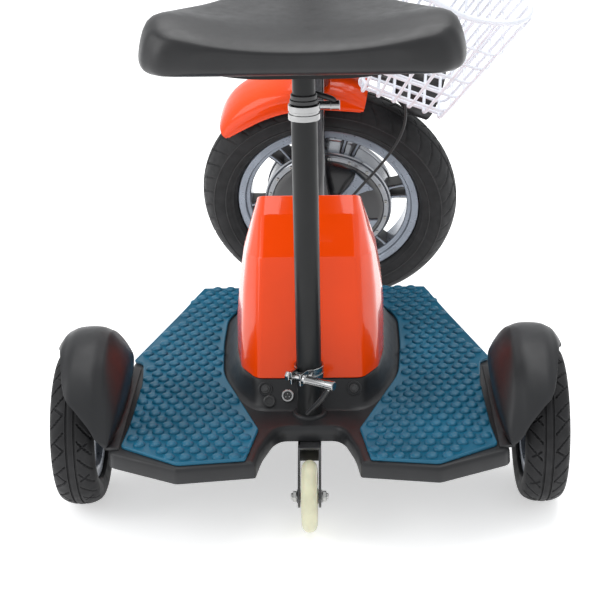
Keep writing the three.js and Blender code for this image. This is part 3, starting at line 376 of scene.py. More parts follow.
# ---- deck ----------------------------------------------------------------------------------------
# One injection moulding of black grained plastic: a flat footboard with a deep rounded skirt, an
# arch cut in over the caster, and the tray whose sloping back panel carries the charging fittings.
DECK_LOW = 104
TRAY_TOP = 158
deck_side = [(34, -58), (44, -70), (56.5, -112), (62, -152), (155, -166), (241, -122), (243, 139), (196, 303),
             (172, 408), (25, 408), (25, 364)]
tray_foot = [(66, -8), (95, 40), (113, 100), (118, 190), (118, 280), (84, 348)]
tray_lip = [(67.5, 10), (88, 45), (96, 100), (98, 190), (96, 270), (64, 340)]


def both_sides(points):
    """A right-hand outline and its mirror, as one closed outline."""
    return [*points, *[(-x, y) for x, y in reversed(points)]]


def rounded(outline, radii, steps=5):
    """Corners of an outline drawn as arcs; radii is one number, or one for each corner."""
    count = len(outline)
    radii = radii if isinstance(radii, (list, tuple)) else [radii] * count
    line = []
    for i, corner in enumerate(outline):
        corner = Vector(corner)
        back = Vector(outline[i - 1]) - corner
        on = Vector(outline[(i + 1) % count]) - corner
        reach = min(radii[i], back.length * 0.48, on.length * 0.48)
        start = corner + back.normalized() * reach
        end = corner + on.normalized() * reach
        for k in range(steps + 1):
            t = k / steps
            line.append(start * (1 - t) ** 2 + corner * 2 * t * (1 - t) + end * t * t)
    return line


def inset(outline, depth):
    """An outline moved inwards by depth, or outwards where depth is below zero."""
    count = len(outline)
    area = sum(outline[i - 1][0] * outline[i][1] - outline[i][0] * outline[i - 1][1] for i in range(count))
    way = 1 if area > 0 else -1
    moved = []
    for i in range(count):
        a, b, c = (Vector(outline[(i + k) % count]) for k in (-1, 0, 1))
        first = (b - a).normalized()
        second = (c - b).normalized()
        normal = Vector((-first.y - second.y, first.x + second.x)) * way
        normal.normalize()
        lean = max(normal.dot(Vector((-first.y, first.x)) * way), 0.5)
        moved.append(b + normal * depth / lean)
    return moved


def level(outline, z):
    return [(p[0], p[1], z) for p in outline]


def between(first, second, share):
    return [Vector(a).lerp(Vector(b), share) for a, b in zip(first, second)]


def stepped(outline, radii, steps):
    """Level outlines at heights, each moved in by its depth with its corners eased to suit."""
    rings = []
    for z, depth in steps:
        eased = [max(r - depth, 1.2) for r in radii]
        rings.append(level(rounded(inset(outline, depth), eased), z))
    return rings


moulded = finish("moulded_black", (0.017, 0.0175, 0.019), 0.4, 0, (0.9, 0.035), (70, 0.16), 0.015,
                 [("Specular IOR Level", 0.3)])
deck_radii = [16, 12, 12, 3, 4, 10, 22, 20, 10, 4, 4]
skirt = [(DECK_TOP - 7, 5), (DECK_LOW, 4.2), (DECK_LOW, 0.6), (DECK_LOW + 1, 0), (DECK_TOP - 6, 0.8),
         (DECK_TOP - 3, 1.6), (DECK_TOP - 1.2, 3), (DECK_TOP - 0.3, 5), (DECK_TOP, 7.5)]
foot_line = rounded(both_sides(tray_foot), 16)
lip_line = rounded(both_sides(tray_lip), 14)
tray_steps = [(0, 0.0, -7), (0.8, 0.02, -4), (2.6, 0.06, -1.8), (6, 0.16, -0.4), (15, 0.45, 0), (27, 0.8, 0),
              (32, 0.97, 0), (33.6, 1, 0.6), (34, 1, 2), (34, 1, 6.5), (22, 1, 8)]
build("deck_moulding", [
    loft(stepped(both_sides(deck_side), [*deck_radii, *reversed(deck_radii)], skirt)),
    loft([level(inset(between(foot_line, lip_line, k), d), DECK_TOP - 0.2 + h) for h, k, d in tray_steps]),
    turned([(15.7, DECK_TOP - 1), (21, DECK_TOP - 1), (21, DECK_TOP + 2.4), (20, DECK_TOP + 3.6),
            (18.6, DECK_TOP + 4), (15.7, DECK_TOP + 4), (15.7, DECK_TOP - 1)], (0, POST_Y, 0), (0, 0, 1)),
], CHASSIS, "chassis", moulded, ["deck"], sharp=50)

# ---- foot mats -----------------------------------------------------------------------------------
# Two loose-laid mats of blue rubber, each with a plain raised border and a field of round studs set
# in staggered rows.
MAT_LOW = 124.3
MAT_TOP = 128.3
STUD_R = 7.7
STUD_HEIGHT = 3.9
STUD_PITCH = 19.4
STUD_ROW = 16.8
BORDER = 3.4
mat_edge = [(74, -147), (154, -158), (226, -112), (222, -60), (220, 60), (226, 128), (240, 139), (194, 298),
            (166, 402), (40, 402), (90, 352), (121, 286), (121, 188), (115, 90), (62, -69)]


def covers(outline, x, y):
    """Whether the point (x, y) lies inside an outline."""
    inside = False
    for a, b in zip(outline, [*outline[1:], outline[0]]):
        if (a[1] > y) != (b[1] > y) and x < a[0] + (b[0] - a[0]) * (y - a[1]) / (b[1] - a[1]):
            inside = not inside
    return inside


blue_rubber = finish("blue_rubber", (0.005, 0.105, 0.185), 0.34, 0, (0.7, 0.02), (90, 0.22), 0.02,
                     [("Specular IOR Level", 0.3)])
mat_radii = [3, 5, 5, 10, 10, 8, 3, 8, 3, 3, 20, 25, 25, 25, 3]
for name, s in (("left", -1), ("right", 1)):
    line = [(s * x, y) for x, y in mat_edge]
    field = inset(line, STUD_R - 1.2)
    mat = [loft(stepped(line, mat_radii, (
        (MAT_LOW, 0.3), (MAT_TOP - 1.6, 0), (MAT_TOP - 0.4, 0.5), (MAT_TOP, 1.5), (MAT_TOP, BORDER - 1.6),
        (MAT_TOP - 0.9, BORDER))))]
    dome = [(STUD_R, -1.2), (STUD_R - 0.3, 1.2), (STUD_R - 1.2, 2.4), (STUD_R - 3, 3.3), (STUD_R - 5, 3.75),
            (0, STUD_HEIGHT)]
    for row in range(-10, 30):
        for step in range(14):
            x = s * (step + 0.5 * (row % 2)) * STUD_PITCH
            y = 9 + row * STUD_ROW
            if covers(field, x, y):
                mat.append(turned(dome, (x, y, MAT_TOP - 0.9), (0, 0, 1), 16))
    build(f"studded_mat_{name}", mat, CHASSIS, "chassis", blue_rubber, [f"mat_{name}"], sharp=50)

# ---- rear fenders --------------------------------------------------------------------------------
# Deep hoods of the same black plastic, blow-moulded thin: each wraps its wheel from behind the axle
# to the footboard and spreads inboard into a flange screwed down on the deck.
FLANGE = DECK_TOP + 0.3
FENDER_BACK = -78
FENDER_FRONT = 78
hood_crown = [  # place across the wheel, radius, and the angle behind the axle where it begins
    (315, 97, 10), (314.5, 104, 4), (310, 112.5, -5), (303.5, 120, -22), (294, 124.5, -47),
    (280, 126.5, -56), (264, 126, -65), (254, 122.5, -73)]
hood_wall = [(0.97, 14), (0.85, 5), (0.72, -2), (0.55, -8), (0.3, -6), (0.08, -1)]  # share of height, lean
HOOD_SKIN = 3.2
HOOD_RINGS = 56


def hood_ring(s, share):
    def crown(x, r, start):
        angle = math.radians(start + (FENDER_FRONT - start) * share)
        z = AXLE_Z + r * math.cos(angle)
        return (s * x, r * math.sin(angle), max(z, FLANGE + 4) if x < 262 else z)

    swing = FENDER_BACK + (FENDER_FRONT - FENDER_BACK) * share
    y = 119 * math.sin(math.radians(swing))
    height = max(AXLE_Z + 122 * math.cos(math.radians(swing)) - FLANGE, 4)
    heel = 234 + 9 * (swing / FENDER_FRONT) ** 2
    wall = [(heel + lean * height / 98, y, FLANGE + k * height) for k, lean in hood_wall]
    outside = smooth([*[crown(*p) for p in hood_crown], *[(s * x, y, z) for x, y, z in wall],
                      (s * (heel - 2), y, FLANGE + 3.4), (s * 228, y, FLANGE + 1.8)], 3)
    inside = smooth([*[(s * (x + HOOD_SKIN), y, z) for x, y, z in reversed(wall)],
                     *[crown(x, r - HOOD_SKIN, start) for x, r, start in reversed(hood_crown[3:])],
                     *[crown(x - HOOD_SKIN, r, start) for x, r, start in reversed(hood_crown[:3])]], 3)
    return [*outside, (s * 228, y, FLANGE), (s * (heel + HOOD_SKIN), y, FLANGE), *inside]


def end_strip(first, count, flip):
    """Closes the end of a folded section by joining its outer half to its inner half."""
    faces = []
    for i in range((count - 1) // 2):
        a, b, c, d = first + i, first + i + 1, first + count - 2 - i, first + count - 1 - i
        face = (a, b, d) if b == c or c <= b else (a, b, c, d)
        faces.append(tuple(reversed(face)) if flip else face)
    return faces


for name, s in (("left", -1), ("right", 1)):
    rings = [hood_ring(s, i / (HOOD_RINGS - 1)) for i in range(HOOD_RINGS)]
    points, faces = loft(rings, ends=False)
    count = len(rings[0])
    faces += end_strip(0, count, True) + end_strip((HOOD_RINGS - 1) * count, count, False)
    build(f"rear_hood_{name}", [(points, faces)], CHASSIS, "chassis", moulded, [f"fender_{name}"], sharp=60)

# ---- battery bay ---------------------------------------------------------------------------------
# A thin glossy orange cover, faceted like a cut stone, drops over the tray; two sealed batteries and
# the finned motor controller sit under it and are only seen when it is lifted.
cover_levels = [  # height at the back, fall for each millimetre ahead of it, outline seen from above
    (TRAY_TOP + 0.3, 0, [(67.5, 10.5), (88, 45), (96, 100), (98, 190), (96, 270), (64, 340)]),
    (205, 0.03, [(66, 24), (87, 55), (96, 108), (98, 190), (95, 266), (62, 334)]),
    (260, 0.115, [(64, 45), (84, 75), (92, 122), (94, 190), (90, 258), (58, 322)]),
    (302, 0.177, [(63, 62), (80, 92), (86, 135), (88, 190), (84, 250), (54, 310)]),
    (345, 0.34, [(62, 104), (71, 125), (75, 155), (76, 190), (72, 235), (48, 280)]),
    (362, 0.383, [(60, 130), (66, 145), (68, 165), (68, 190), (62, 225), (42, 258)])]


def sloping(outline, z, fall, back):
    return [(p[0], p[1], z - fall * (p[1] - back)) for p in outline]


orange = finish("orange_gloss", (0.86, 0.06, 0.0015), 0.2, 0, (6, 0.01), (160, 0.08), 0.0,
                [("Specular IOR Level", 0.2), ("Coat Weight", 0.45), ("Coat Roughness", 0.03)])
battery_case = finish("battery_case", (0.05, 0.055, 0.065), 0.5, 0, (1.2, 0.05), (40, 0.2), 0.03)
fin_alloy = finish("fin_alloy", (0.55, 0.56, 0.58), 0.36, 1, (0.6, 0.01), (30, 0.1), 0.05)
shell, lining = [], []
for z, fall, outline in cover_levels:
    line = rounded(both_sides(outline), 9, 4)
    shell.append(sloping(line, z, fall, outline[0][1]))
    lining.append(sloping(inset(line, 3), z - 3, fall, outline[0][1]))
lining[0] = level(inset(rounded(both_sides(cover_levels[0][2]), 9, 4), 3), cover_levels[0][0])
build("orange_cover", [loft([*reversed(lining), *shell])], CHASSIS, "chassis", orange, ["battery_cover"],
      bevel=3.2, sharp=9)
dress(battery_case, "battery_rear", "battery_front")
dress(fin_alloy, "controller")

# ---- back panel fittings -------------------------------------------------------------------------
# A plated three-pin charging socket, a round breaker cap and two hexagon screws down in dished
# recesses, all square to the sloping panel.
PANEL_OUT = Vector((0, -(TRAY_TOP - DECK_TOP), 18)).normalized()
PANEL_UP = Vector((0, 18, TRAY_TOP - DECK_TOP)).normalized()


def panel_at(x, z, proud=0.0):
    return Vector((x, -8 + (z - DECK_TOP) * 18 / (TRAY_TOP - DECK_TOP), z)) + PANEL_OUT * proud


def hexagon(radius, start, end, crown=0.8):
    """A hexagon head or nut with its corners turned off."""
    axis = Vector(end) - Vector(start)
    return turned([(0, 0), (radius * 0.9, 0), (radius, crown), (radius, axis.length - crown),
                   (radius * 0.88, axis.length), (0, axis.length)], start, axis, 6)


plate_bright = finish("bright_plate", (0.36, 0.36, 0.36), 0.2, 1, (3, 0.01), (18, 0.08), 0.0)
zinc = finish("zinc_plate", (0.42, 0.42, 0.41), 0.3, 1, (0.8, 0.015), (12, 0.12), 0.05)
fitting = finish("fitting_black", (0.016, 0.016, 0.017), 0.36, 0, (0.8, 0.02), (25, 0.2), 0.03)
socket_at = panel_at(-28, 139)
build("charging_socket", [turned([
    (0, -8), (5.2, -8), (5.2, 2.6), (5.6, 3), (7.2, 3), (8, 2.2), (8, 0.3), (6.4, 0.3), (6.4, -12), (0, -12)],
    socket_at, PANEL_OUT, 48)], CHASSIS, "chassis", plate_bright, ["charge_socket"])
build("socket_insert", [
    turned([(0, 1.4), (4.9, 1.4), (5.1, 1.2), (5.1, -7.8), (0, -7.8)], socket_at, PANEL_OUT, 40)],
      CHASSIS, "chassis", fitting)
pins = []
for k in range(3):
    angle = math.radians(90 + 120 * k)
    spot = socket_at + Vector((math.cos(angle), 0, 0)) * 2.5 + PANEL_UP * math.sin(angle) * 2.5
    pins.append(rod(0.95, spot - PANEL_OUT * 7, spot + PANEL_OUT * 2.6, 16, 0.4))
build("socket_pins", pins, CHASSIS, "chassis", plate_bright)
build("breaker_button", [turned([
    (0, 2.2), (4.4, 2.2), (4.8, 3), (6.6, 3.2), (7.6, 2.6), (7.8, 1.6), (7.8, 0.3), (6, 0.3), (6, -12),
    (0, -12)], panel_at(-51, 133), PANEL_OUT, 40)], CHASSIS, "chassis", fitting, ["breaker_cap"])
for name, s in (("left", -1), ("right", 1)):
    spot = panel_at(s * 56, 147)
    build(f"panel_screw_recess_{name}", [turned([
        (6.4, 0.05), (6.8, 0.9), (8.2, 1.2), (9.2, 0.7), (9.4, -0.3), (5.8, -0.3), (5.8, 0.05), (6.4, 0.05)],
        spot, PANEL_OUT, 40)], CHASSIS, "chassis", moulded)
    build(f"panel_hexagon_{name}", [
        turned([(0, 0.2), (5.6, 0.2), (5.6, 0.9), (0, 0.9)], spot, PANEL_OUT, 32),
        hexagon(4.3, spot + PANEL_OUT * 0.6, spot + PANEL_OUT * 3.2)], CHASSIS, "chassis", fitting,
          [f"panel_screw_{name}"])

# ---- rear wheels ---------------------------------------------------------------------------------
# Eight-inch pneumatic tyres with a ribbed crown and slanting sipes, on cast alloy rims that turn on
# plated axle bolts.
TRACK = 290
REAR_R = 100
TREAD_STEP = 1.1
tyre_rubber = finish("tyre_rubber", (0.010, 0.010, 0.011), 0.6, 0, (0.8, 0.03), (26, 0.3), 0.05,
                     [("Specular IOR Level", 0.3)])
cast_silver = finish("cast_silver", (0.24, 0.27, 0.32), 0.3, 0.6, (0.7, 0.015), (35, 0.12), 0.06,
                     [("Coat Weight", 0.35), ("Coat Roughness", 0.2)])


def mirrored(half):
    """The left half of a wheel's section, continued to its right half."""
    return [*half, *[(r, -h) for r, h in reversed(half) if abs(h) > 1e-6]]


def treaded(section, centre, axis, depth_at, step=TREAD_STEP):
    """A tyre turned from its section, with grooves sunk into it where depth_at says."""
    rim_r = max(r for r, h in section)
    steps = int(2 * math.pi * rim_r / step)
    points, faces = turned([*section, section[0]], centre, axis, steps)
    count = len(section) + 1
    centre, axis = Vector(centre), Vector(axis).normalized()
    for i in range(steps):
        along = 2 * math.pi * i / steps
        for k, (r, h) in enumerate(section):
            depth = depth_at(r, h, along)
            if depth:
                p = points[i * count + k]
                hub = centre + axis * h
                points[i * count + k] = hub + (p - hub) * (1 - depth / r)
    return points, faces


def rear_groove(r, h, along):
    """Depth of the tread at a height across the tyre and an angle round it."""
    if r < 84 or abs(h) > 24.5:
        return 0
    if 3.6 <= abs(h) <= 6.2:
        return 1.9
    if abs(h) > 7.4:
        phase = (along * REAR_R + abs(h) * 1.15 + (11 if h > 0 else 0)) % 22.4
        fork = (along * REAR_R - abs(h) * 0.8 + 6) % 44.9
        return 1.6 if phase < 2.4 or (fork < 2.4 and 9 < abs(h) < 20) else 0
    return 0


tread_crown = smooth([(69.5, -23.4, 0), (78, -26.4, 0), (86, -26.8, 0), (93, -23.2, 0),
                      (97.6, -15, 0), (99.5, -7, 0), (100, 0, 0)], 6)
fine = [(p[0], p[1]) for p in tread_crown if abs(p[1]) > 7.6]
rear_section = mirrored([(62.3, -14.6), (67, -15), (67.5, -19.4), (68, -21.5), *fine, (99.4, -7.2),
                         (99.5, -6.3), (99.6, -5.9), (99.65, -4), (99.7, -3.5), (99.9, -2), (100, 0)])
rim_section = [(6.3, -26), (12, -26), (15, -25), (16, -23), (17.4, -10), (20, -8), (48, -8), (50.5, -9.5),
               (52, -17), (54, -19), (66, -19), (67, -18), (67, -15.6), (62, -15.2)]
for name, s in (("left", -1), ("right", 1)):
    hub = (s * TRACK, 0, AXLE_Z)
    body = f"rear_wheel_{name}"
    build(f"tyre_{name}", [treaded(rear_section, hub, (s, 0, 0), rear_groove)], CHASSIS, body, tyre_rubber,
          [f"tyre_rear_{name}"], sharp=28)
    ribs = []
    for k in range(6):
        turn = Matrix.Translation(hub) @ Matrix.Rotation(math.radians(60 * k), 4, "X") @ Matrix.Translation(
            -Vector(hub))
        for way in (-1, 1):
            points, faces = block(hub[0] + (7 if way > 0 else -13), hub[0] + (13 if way > 0 else -7), -4.5,
                                  4.5, AXLE_Z + 14, AXLE_Z + 53)
            ribs.append(([turn @ Vector(p) for p in points], faces))
    build(f"rim_{name}", [turned([*mirrored(rim_section), rim_section[0]], hub, (1, 0, 0), 96), *ribs],
          CHASSIS, body, cast_silver, [f"rim_rear_{name}"], bevel=0.7)
    build(f"axle_stud_{name}", [
        rod(6, (s * 192, 0, AXLE_Z), (s * 324.5, 0, AXLE_Z), 32),
        rod(9, (s * 250.3, 0, AXLE_Z), (s * 263.7, 0, AXLE_Z), 32),
        rod(11.5, (s * 316.3, 0, AXLE_Z), (s * 318, 0, AXLE_Z), 32),
        hexagon(10.5, (s * 318, 0, AXLE_Z), (s * 324, 0, AXLE_Z))], CHASSIS, "chassis", zinc,
          [f"axle_bolt_{name}"])

# ---- caster --------------------------------------------------------------------------------------
# A narrow polyurethane wheel that stops the machine tipping back, between the pressed steel cheeks
# of a bracket welded under the arch.
CASTER = Vector((0, -106, 54))
CHEEK_IN = 11.3
CHEEK_OUT = 14.3
urethane = finish("cream_urethane", (0.60, 0.60, 0.43), 0.34, 0, (1.2, 0.02), (22, 0.12), 0.0,
                  [("Subsurface Weight", 0.12), ("Specular IOR Level", 0.45)])
caster_half = [(4.3, -10.8), (8.6, -10.8), (9.4, -10), (10, -8), (12, -7.8), (23, -7.8), (24.4, -8.2),
               (27, -9.6), (30, -9.8), (35, -9.8), (38.6, -8.8), (41.4, -6.8), (43.2, -4), (43.9, -1.6),
               (44, 0)]
caster_ring = mirrored(caster_half)
build("caster_roller", [turned([*caster_ring, caster_ring[0]], CASTER, (1, 0, 0), 96)], CHASSIS, "caster",
      urethane, ["caster_wheel"])
cheek = [(-42, 103.4), (-72, 103.4), (-124, 60), (-120, 44), (-98, 40), (-86, 52), (-42, 70)]
cheek_line = rounded(cheek, [1, 6, 7, 7, 7, 8, 1])
plates = [loft([[(x, p[0], p[1]) for p in cheek_line] for x in (s * CHEEK_IN, s * CHEEK_OUT)])
          for s in (-1, 1)]
build("caster_fork", [*plates, block(-CHEEK_OUT, CHEEK_OUT, -74, -42, 100.4, 103.4),
                      block(-CHEEK_OUT, CHEEK_OUT, -45, -42, 70, 103.4)],
      CHASSIS, "chassis", enamel, ["caster_bracket"], bevel=0.5)
build("caster_axle", [
    rod(4, CASTER - Vector((23, 0, 0)), CASTER + Vector((23, 0, 0))),
    rod(8.4, CASTER + Vector((CHEEK_OUT + 0.3, 0, 0)), CASTER + Vector((CHEEK_OUT + 1.5, 0, 0))),
    rod(8.4, CASTER - Vector((CHEEK_OUT + 1.5, 0, 0)), CASTER - Vector((CHEEK_OUT + 0.3, 0, 0))),
    hexagon(7, CASTER + Vector((CHEEK_OUT + 1.4, 0, 0)), CASTER + Vector((CHEEK_OUT + 6.4, 0, 0))),
    hexagon(7, CASTER - Vector((CHEEK_OUT + 1.4, 0, 0)), CASTER - Vector((CHEEK_OUT + 6.4, 0, 0)))],
      CHASSIS, "chassis", zinc, ["caster_bolt"])

# ---- seat post -----------------------------------------------------------------------------------
# A drawn steel outer tube held in the socket by the lower clamp, and an inner tube that slides in a
# plastic bush and is locked by the upper one. Both are powder-coated satin black.
POST_R = 15.4
POST_TOP = 523
SADDLE_LOW = 575
satin = finish("satin_black", (0.007, 0.0075, 0.008), 0.36, 0, (1.6, 0.02), (50, 0.2), 0.02,
               [("Specular IOR Level", 0.22)])


def post_sleeve(inner, outer, low, high, edge=0.8):
    return turned([(inner, low), (outer - edge, low), (outer, low + edge), (outer, high - edge),
                   (outer - edge, high), (inner, high), (inner, low)], (0, POST_Y, 0), (0, 0, 1), 80)


build("outer_post", [post_sleeve(13.6, POST_R, 96, POST_TOP)], CHASSIS, "chassis", satin, ["post_tube"])
build("post_collar", [post_sleeve(13.6, POST_R + 1.2, 523.3, 528, 0.5),
                      post_sleeve(13.6, POST_R + 0.2, 528, 534)],
      CHASSIS, "chassis", fitting, ["post_bush"])
build("inner_post", [post_sleeve(11.3, 13.3, 330, 568.7)], CHASSIS, "saddle_post", satin, ["seat_tube"])

# ---- quick-release clamps ------------------------------------------------------------------------
# Split bands of chromed steel, drawn up by a cross bolt whose barrel carries a cam lever. The lower
# one faces back and right; the upper one is turned over, with its lever above the barrel.
PINCH = 27
BAND_R = 18.6


def split_band(low, high):
    """A band open toward -Y, with the two ears that its bolt goes through."""
    outer = [(BAND_R * math.cos(math.radians(a)), BAND_R * math.sin(math.radians(a)))
             for a in (-62.8 + 305.6 * i / 60 for i in range(61))]
    inner = [(15.7 * math.cos(math.radians(a)), 15.7 * math.sin(math.radians(a)))
             for a in (251.4 - 322.8 * i / 60 for i in range(61))]
    ears_left = [(-8.5, -30), (-7.4, -33), (-5, -33)]
    ears_right = [(5, -33), (7.4, -33), (8.5, -30)]
    outline = [*ears_right, *outer, *ears_left, *inner]
    return loft([level(outline, z) for z in (low, high)])


def quick_release(name, low, high, turn, drop, length, barrel, black_from):
    mid = (low + high) / 2
    place = CHASSIS @ Matrix.Translation((0, POST_Y, mid)) @ turn @ Matrix.Translation((0, 0, -mid))
    waist = (high - low) * 0.08
    build(f"{name}_band", [split_band(low, mid - waist), split_band(mid + waist, high),
                           turned([(15.7, mid - waist - 1), (BAND_R - 1.4, mid - waist - 1),
                                   (BAND_R - 1.4, mid + waist + 1), (15.7, mid + waist + 1),
                                   (15.7, mid - waist - 1)], (0, 0, 0), (0, 0, 1), 80)],
          place, "chassis", plate_bright, [f"{name}_clamp"], bevel=0.9)
    build(f"{name}_cross_bolt", [
        rod(2.8, (-16, -PINCH, mid), (barrel - 12, -PINCH, mid)),
        hexagon(6, (-15.6, -PINCH, mid), (-10.4, -PINCH, mid)),
        rod(6.6, (-10.4, -PINCH, mid), (-8.9, -PINCH, mid)),
        turned([(0, 8.9), (5.9, 8.9), (6.3, 9.4), (6.3, 12), (5.6, 12.6), (5.2, 13.4), (5.2, barrel - 11.4),
                (5.8, barrel - 10.8), (5.8, barrel - 1.2), (5, barrel - 0.2), (0, barrel)],
                (0, -PINCH, mid), (1, 0, 0), 48)],
          place, "chassis", plate_bright, [f"{name}_clamp_bolt"])
    root = Vector((barrel - 6, -PINCH, mid))
    tip = root - Vector((length * math.cos(math.radians(drop)), 0, length * math.sin(math.radians(drop))))
    arm = smooth([root + Vector((0.5, 0, 0)), root + Vector((-3, 0, -7)),
                  (root + tip) / 2 + Vector((1.5, 0, -2)), tip], 12)
    cut = int(len(arm) * black_from)
    widths = [2.1 + 0.9 * math.sin(math.pi * i / (len(arm) - 1)) for i in range(len(arm))]
    build(f"{name}_cam_lever", [
        rod(2.4, root - Vector((0, 3.6, 0)), root + Vector((0, 3.6, 0))),
        tube(arm[:cut + 1], widths[:cut + 1], 20)], place, f"{name}_lever", plate_bright,
        [f"{name}_clamp_lever"])
    build(f"{name}_lever_grip", [tube(arm[cut:], [w + 0.5 for w in widths[cut:]], 20)], place,
          f"{name}_lever", fitting, bevel=0.4)


quick_release("lower", 176, 192, Matrix.Rotation(math.radians(-30), 4, "Z"), 54, 57, 52, 0.32)
quick_release("upper", 504, 522, Matrix.Rotation(math.pi, 4, "X"), 27, 50, 42, 0.12)

# ---- saddle --------------------------------------------------------------------------------------
# A broad sprung-pan saddle: moulded foam under stretched black vinyl, pulled down round the pan and
# stapled beneath, with a wide dished seat, a soft crest along the back and a short blunt nose.
vinyl = finish("saddle_vinyl", (0.011, 0.011, 0.012), 0.36, 0, (1.3, 0.05), (30, 0.18), 0.02,
               [("Sheen Weight", 0.05), ("Sheen Roughness", 0.5), ("Specular IOR Level", 0.4)])
saddle_stations = [  # place along the seat, half width, lift of the underside, crest height, middle height
    (-119, 106, 17, 600, 597), (-118, 128, 8, 610, 603), (-111, 156, 2, 619, 607), (-99, 171, 0, 625, 611),
    (-85, 180, 0, 630, 614), (-55, 183, 0, 637, 619), (-15, 168, 0, 633, 624), (25, 128, 0, 632, 628),
    (65, 94, 0, 634, 632), (110, 68, 1, 634, 634), (165, 52, 6, 628, 630), (194, 38, 13, 619, 621),
    (200, 24, 19, 611, 612)]


def saddle_ring(y, width, lift, crest, mid):
    low = SADDLE_LOW + 0.3 + lift
    rise = crest - low
    half = [(0.9, low), (0.965, low + rise * 0.03), (0.994, low + rise * 0.13), (1, low + rise * 0.28),
            (0.98, low + rise * 0.6), (0.945, crest - rise * 0.1), (0.88, crest - rise * 0.01),
            (0.78, crest - (crest - mid) * 0.06), (0.6, mid + (crest - mid) * 0.58),
            (0.4, mid + (crest - mid) * 0.24), (0.2, mid + (crest - mid) * 0.06)]
    right = [(k * width, y, z) for k, z in half]
    left = [(-x, y, z) for x, y, z in reversed(right)]
    under = [(k * width, y, low) for k in (-0.6, -0.3, 0, 0.3, 0.6)]
    return [*right, (0, y, mid), *left, *under]


columns = [smooth(column, 4) for column in zip(*[saddle_ring(*station) for station in saddle_stations])]
rings = [list(ring) for ring in zip(*columns)]
saddle_pad = build("saddle_pad", [loft(rings)], CHASSIS, "saddle_post", vinyl, ["saddle"], sharp=75)
rounding = saddle_pad.modifiers.new("soft_vinyl", "SUBSURF")
rounding.levels = rounding.render_levels = 1
build("saddle_pan", [
    loft([level(rounded([(-60, -95), (60, -95), (120, -60), (120, 0), (55, 60), (36, 150), (-36, 150),
                         (-55, 60), (-120, 0), (-120, -60)], 24), z) for z in (569, 575)]),
    turned([(13.6, 556), (17.3, 556), (17.3, 566), (24, 569.2), (24, 571), (13.6, 571), (13.6, 556)],
           (0, POST_Y, 0), (0, 0, 1), 64)], CHASSIS, "saddle_post", satin, ["saddle_base"], bevel=0.6)

# ---- fork and headset ----------------------------------------------------------------------------
# Two flat pressed legs welded to a crown plate and steerer, black enamelled, turning in the head
# tube on plated bearing cups.
LEG_IN = 52
LEG_OUT = 64
HUB = Vector((0, 23, 0))
leg_side = [(-13, 266), (15, 266), (17, 200), (25, 60), (39, 8), (37, -10), (23, -18), (9, -10), (7, 8),
            (-4, 60), (-13, 200)]
leg_line = rounded(leg_side, [2, 2, 30, 30, 14, 10, 10, 10, 14, 30, 30])
build("fork_legs", [
    *[loft([[(s * x, p[0], p[1]) for p in leg_line] for x in (LEG_IN, LEG_OUT)]) for s in (-1, 1)],
    loft([level(rounded([(-64, -16), (64, -16), (64, 18), (40, 30), (-40, 30), (-64, 18)], 8), z)
          for z in (247, 266)]),
    rod(14.3, (0, 0, 264), (0, 0, 430))], STEERING, "steering", enamel, ["fork"], bevel=1.8)
build("leg_pivots", [rod(15, HUB + Vector((s * 50.6, 0, 0)), HUB + Vector((s * 65.4, 0, 0)), 40, 1)
                     for s in (-1, 1)], STEERING, "steering", enamel)
for name, low, high, body in (("lower", 266.3, 271.7, "chassis"), ("upper", 398.3, 404, "steering")):
    build(f"headset_{name}_cup", [turned([
        (14.6, low), (21.5, low), (22.5, low + 1), (22.5, high - 1), (21.5, high), (14.6, high), (14.6, low)],
        (0, 0, 0), (0, 0, 1))], STEERING, body, zinc, [f"headset_{name}"])

# ---- front wheel ---------------------------------------------------------------------------------
# A hub motor cast in alloy: a bolted rim on six pairs of spokes round a polished shell, under a wide
# black tyre, with a black cover on its outer face that carries a five-armed star.
SHELL_FACE = 27


def front_groove(r, h, along):
    """Tread of the front tyre: two rings of groove and slanting shoulder blocks."""
    if r < 187:
        return 0
    if 8.5 <= abs(h) <= 12:
        return 1.8
    phase = (along * 207 + abs(h) * 0.9 + (14 if h > 0 else 0)) % 29.5
    if abs(h) > 13:
        return 1.3 if phase < 3.4 else 0
    return 1.2 if abs(h) < 7 and phase < 2.4 else 0


wall = smooth([(160, -36.6, 0), (168, -39.3, 0), (175, -40, 0), (183, -38.9, 0), (190, -35.6, 0),
               (196, -30, 0), (200, -25, 0), (203.2, -18.5, 0), (205.2, -12.4, 0), (206.2, -8, 0),
               (206.8, -4, 0), (207, 0, 0)], 4)
front_section = mirrored([
    (140.3, -17.6), (147.5, -18.6), (148, -24.3), (149.4, -27.6), (152, -30), (153.4, -32.4), (154.6, -32.8),
    (155.6, -33), (157.6, -34.6), *[(p[0], p[1]) for p in wall]])
build("front_tyre", [treaded(front_section, HUB, (1, 0, 0), front_groove, 1.7)], STEERING, "front_wheel",
      tyre_rubber, ["tyre_front"], sharp=28)
build("tyre_side_beads", [
    tube([HUB + Vector((s * 38.6, r * math.cos(a), r * math.sin(a))) for a in (
        2 * math.pi * i / 160 for i in range(160))], 1.1, 8, closed=True)
    for s in (-1, 1) for r in (165, 184)], STEERING, "front_wheel", tyre_rubber)
rim_half = [(127, -12), (127, -16), (128.6, -18), (133.6, -19.4), (134.4, -22), (136, -24), (145.6, -24),
            (147, -22.8), (147, -19.6), (140, -18)]
front_rim = mirrored(rim_half)


def turned_piece(shape, angle):
    """A shape carried round the hub by an angle in degrees."""
    turn = Matrix.Translation(HUB) @ Matrix.Rotation(math.radians(angle), 4, "X")
    points, faces = shape
    return [turn @ Vector(p) for p in points], faces


def spoke_ring(radius, half_width, half_depth):
    return [(x, y, radius) for x, y in ((-half_depth, -half_width), (half_depth, -half_width),
                                        (half_depth, half_width), (-half_depth, half_width))]


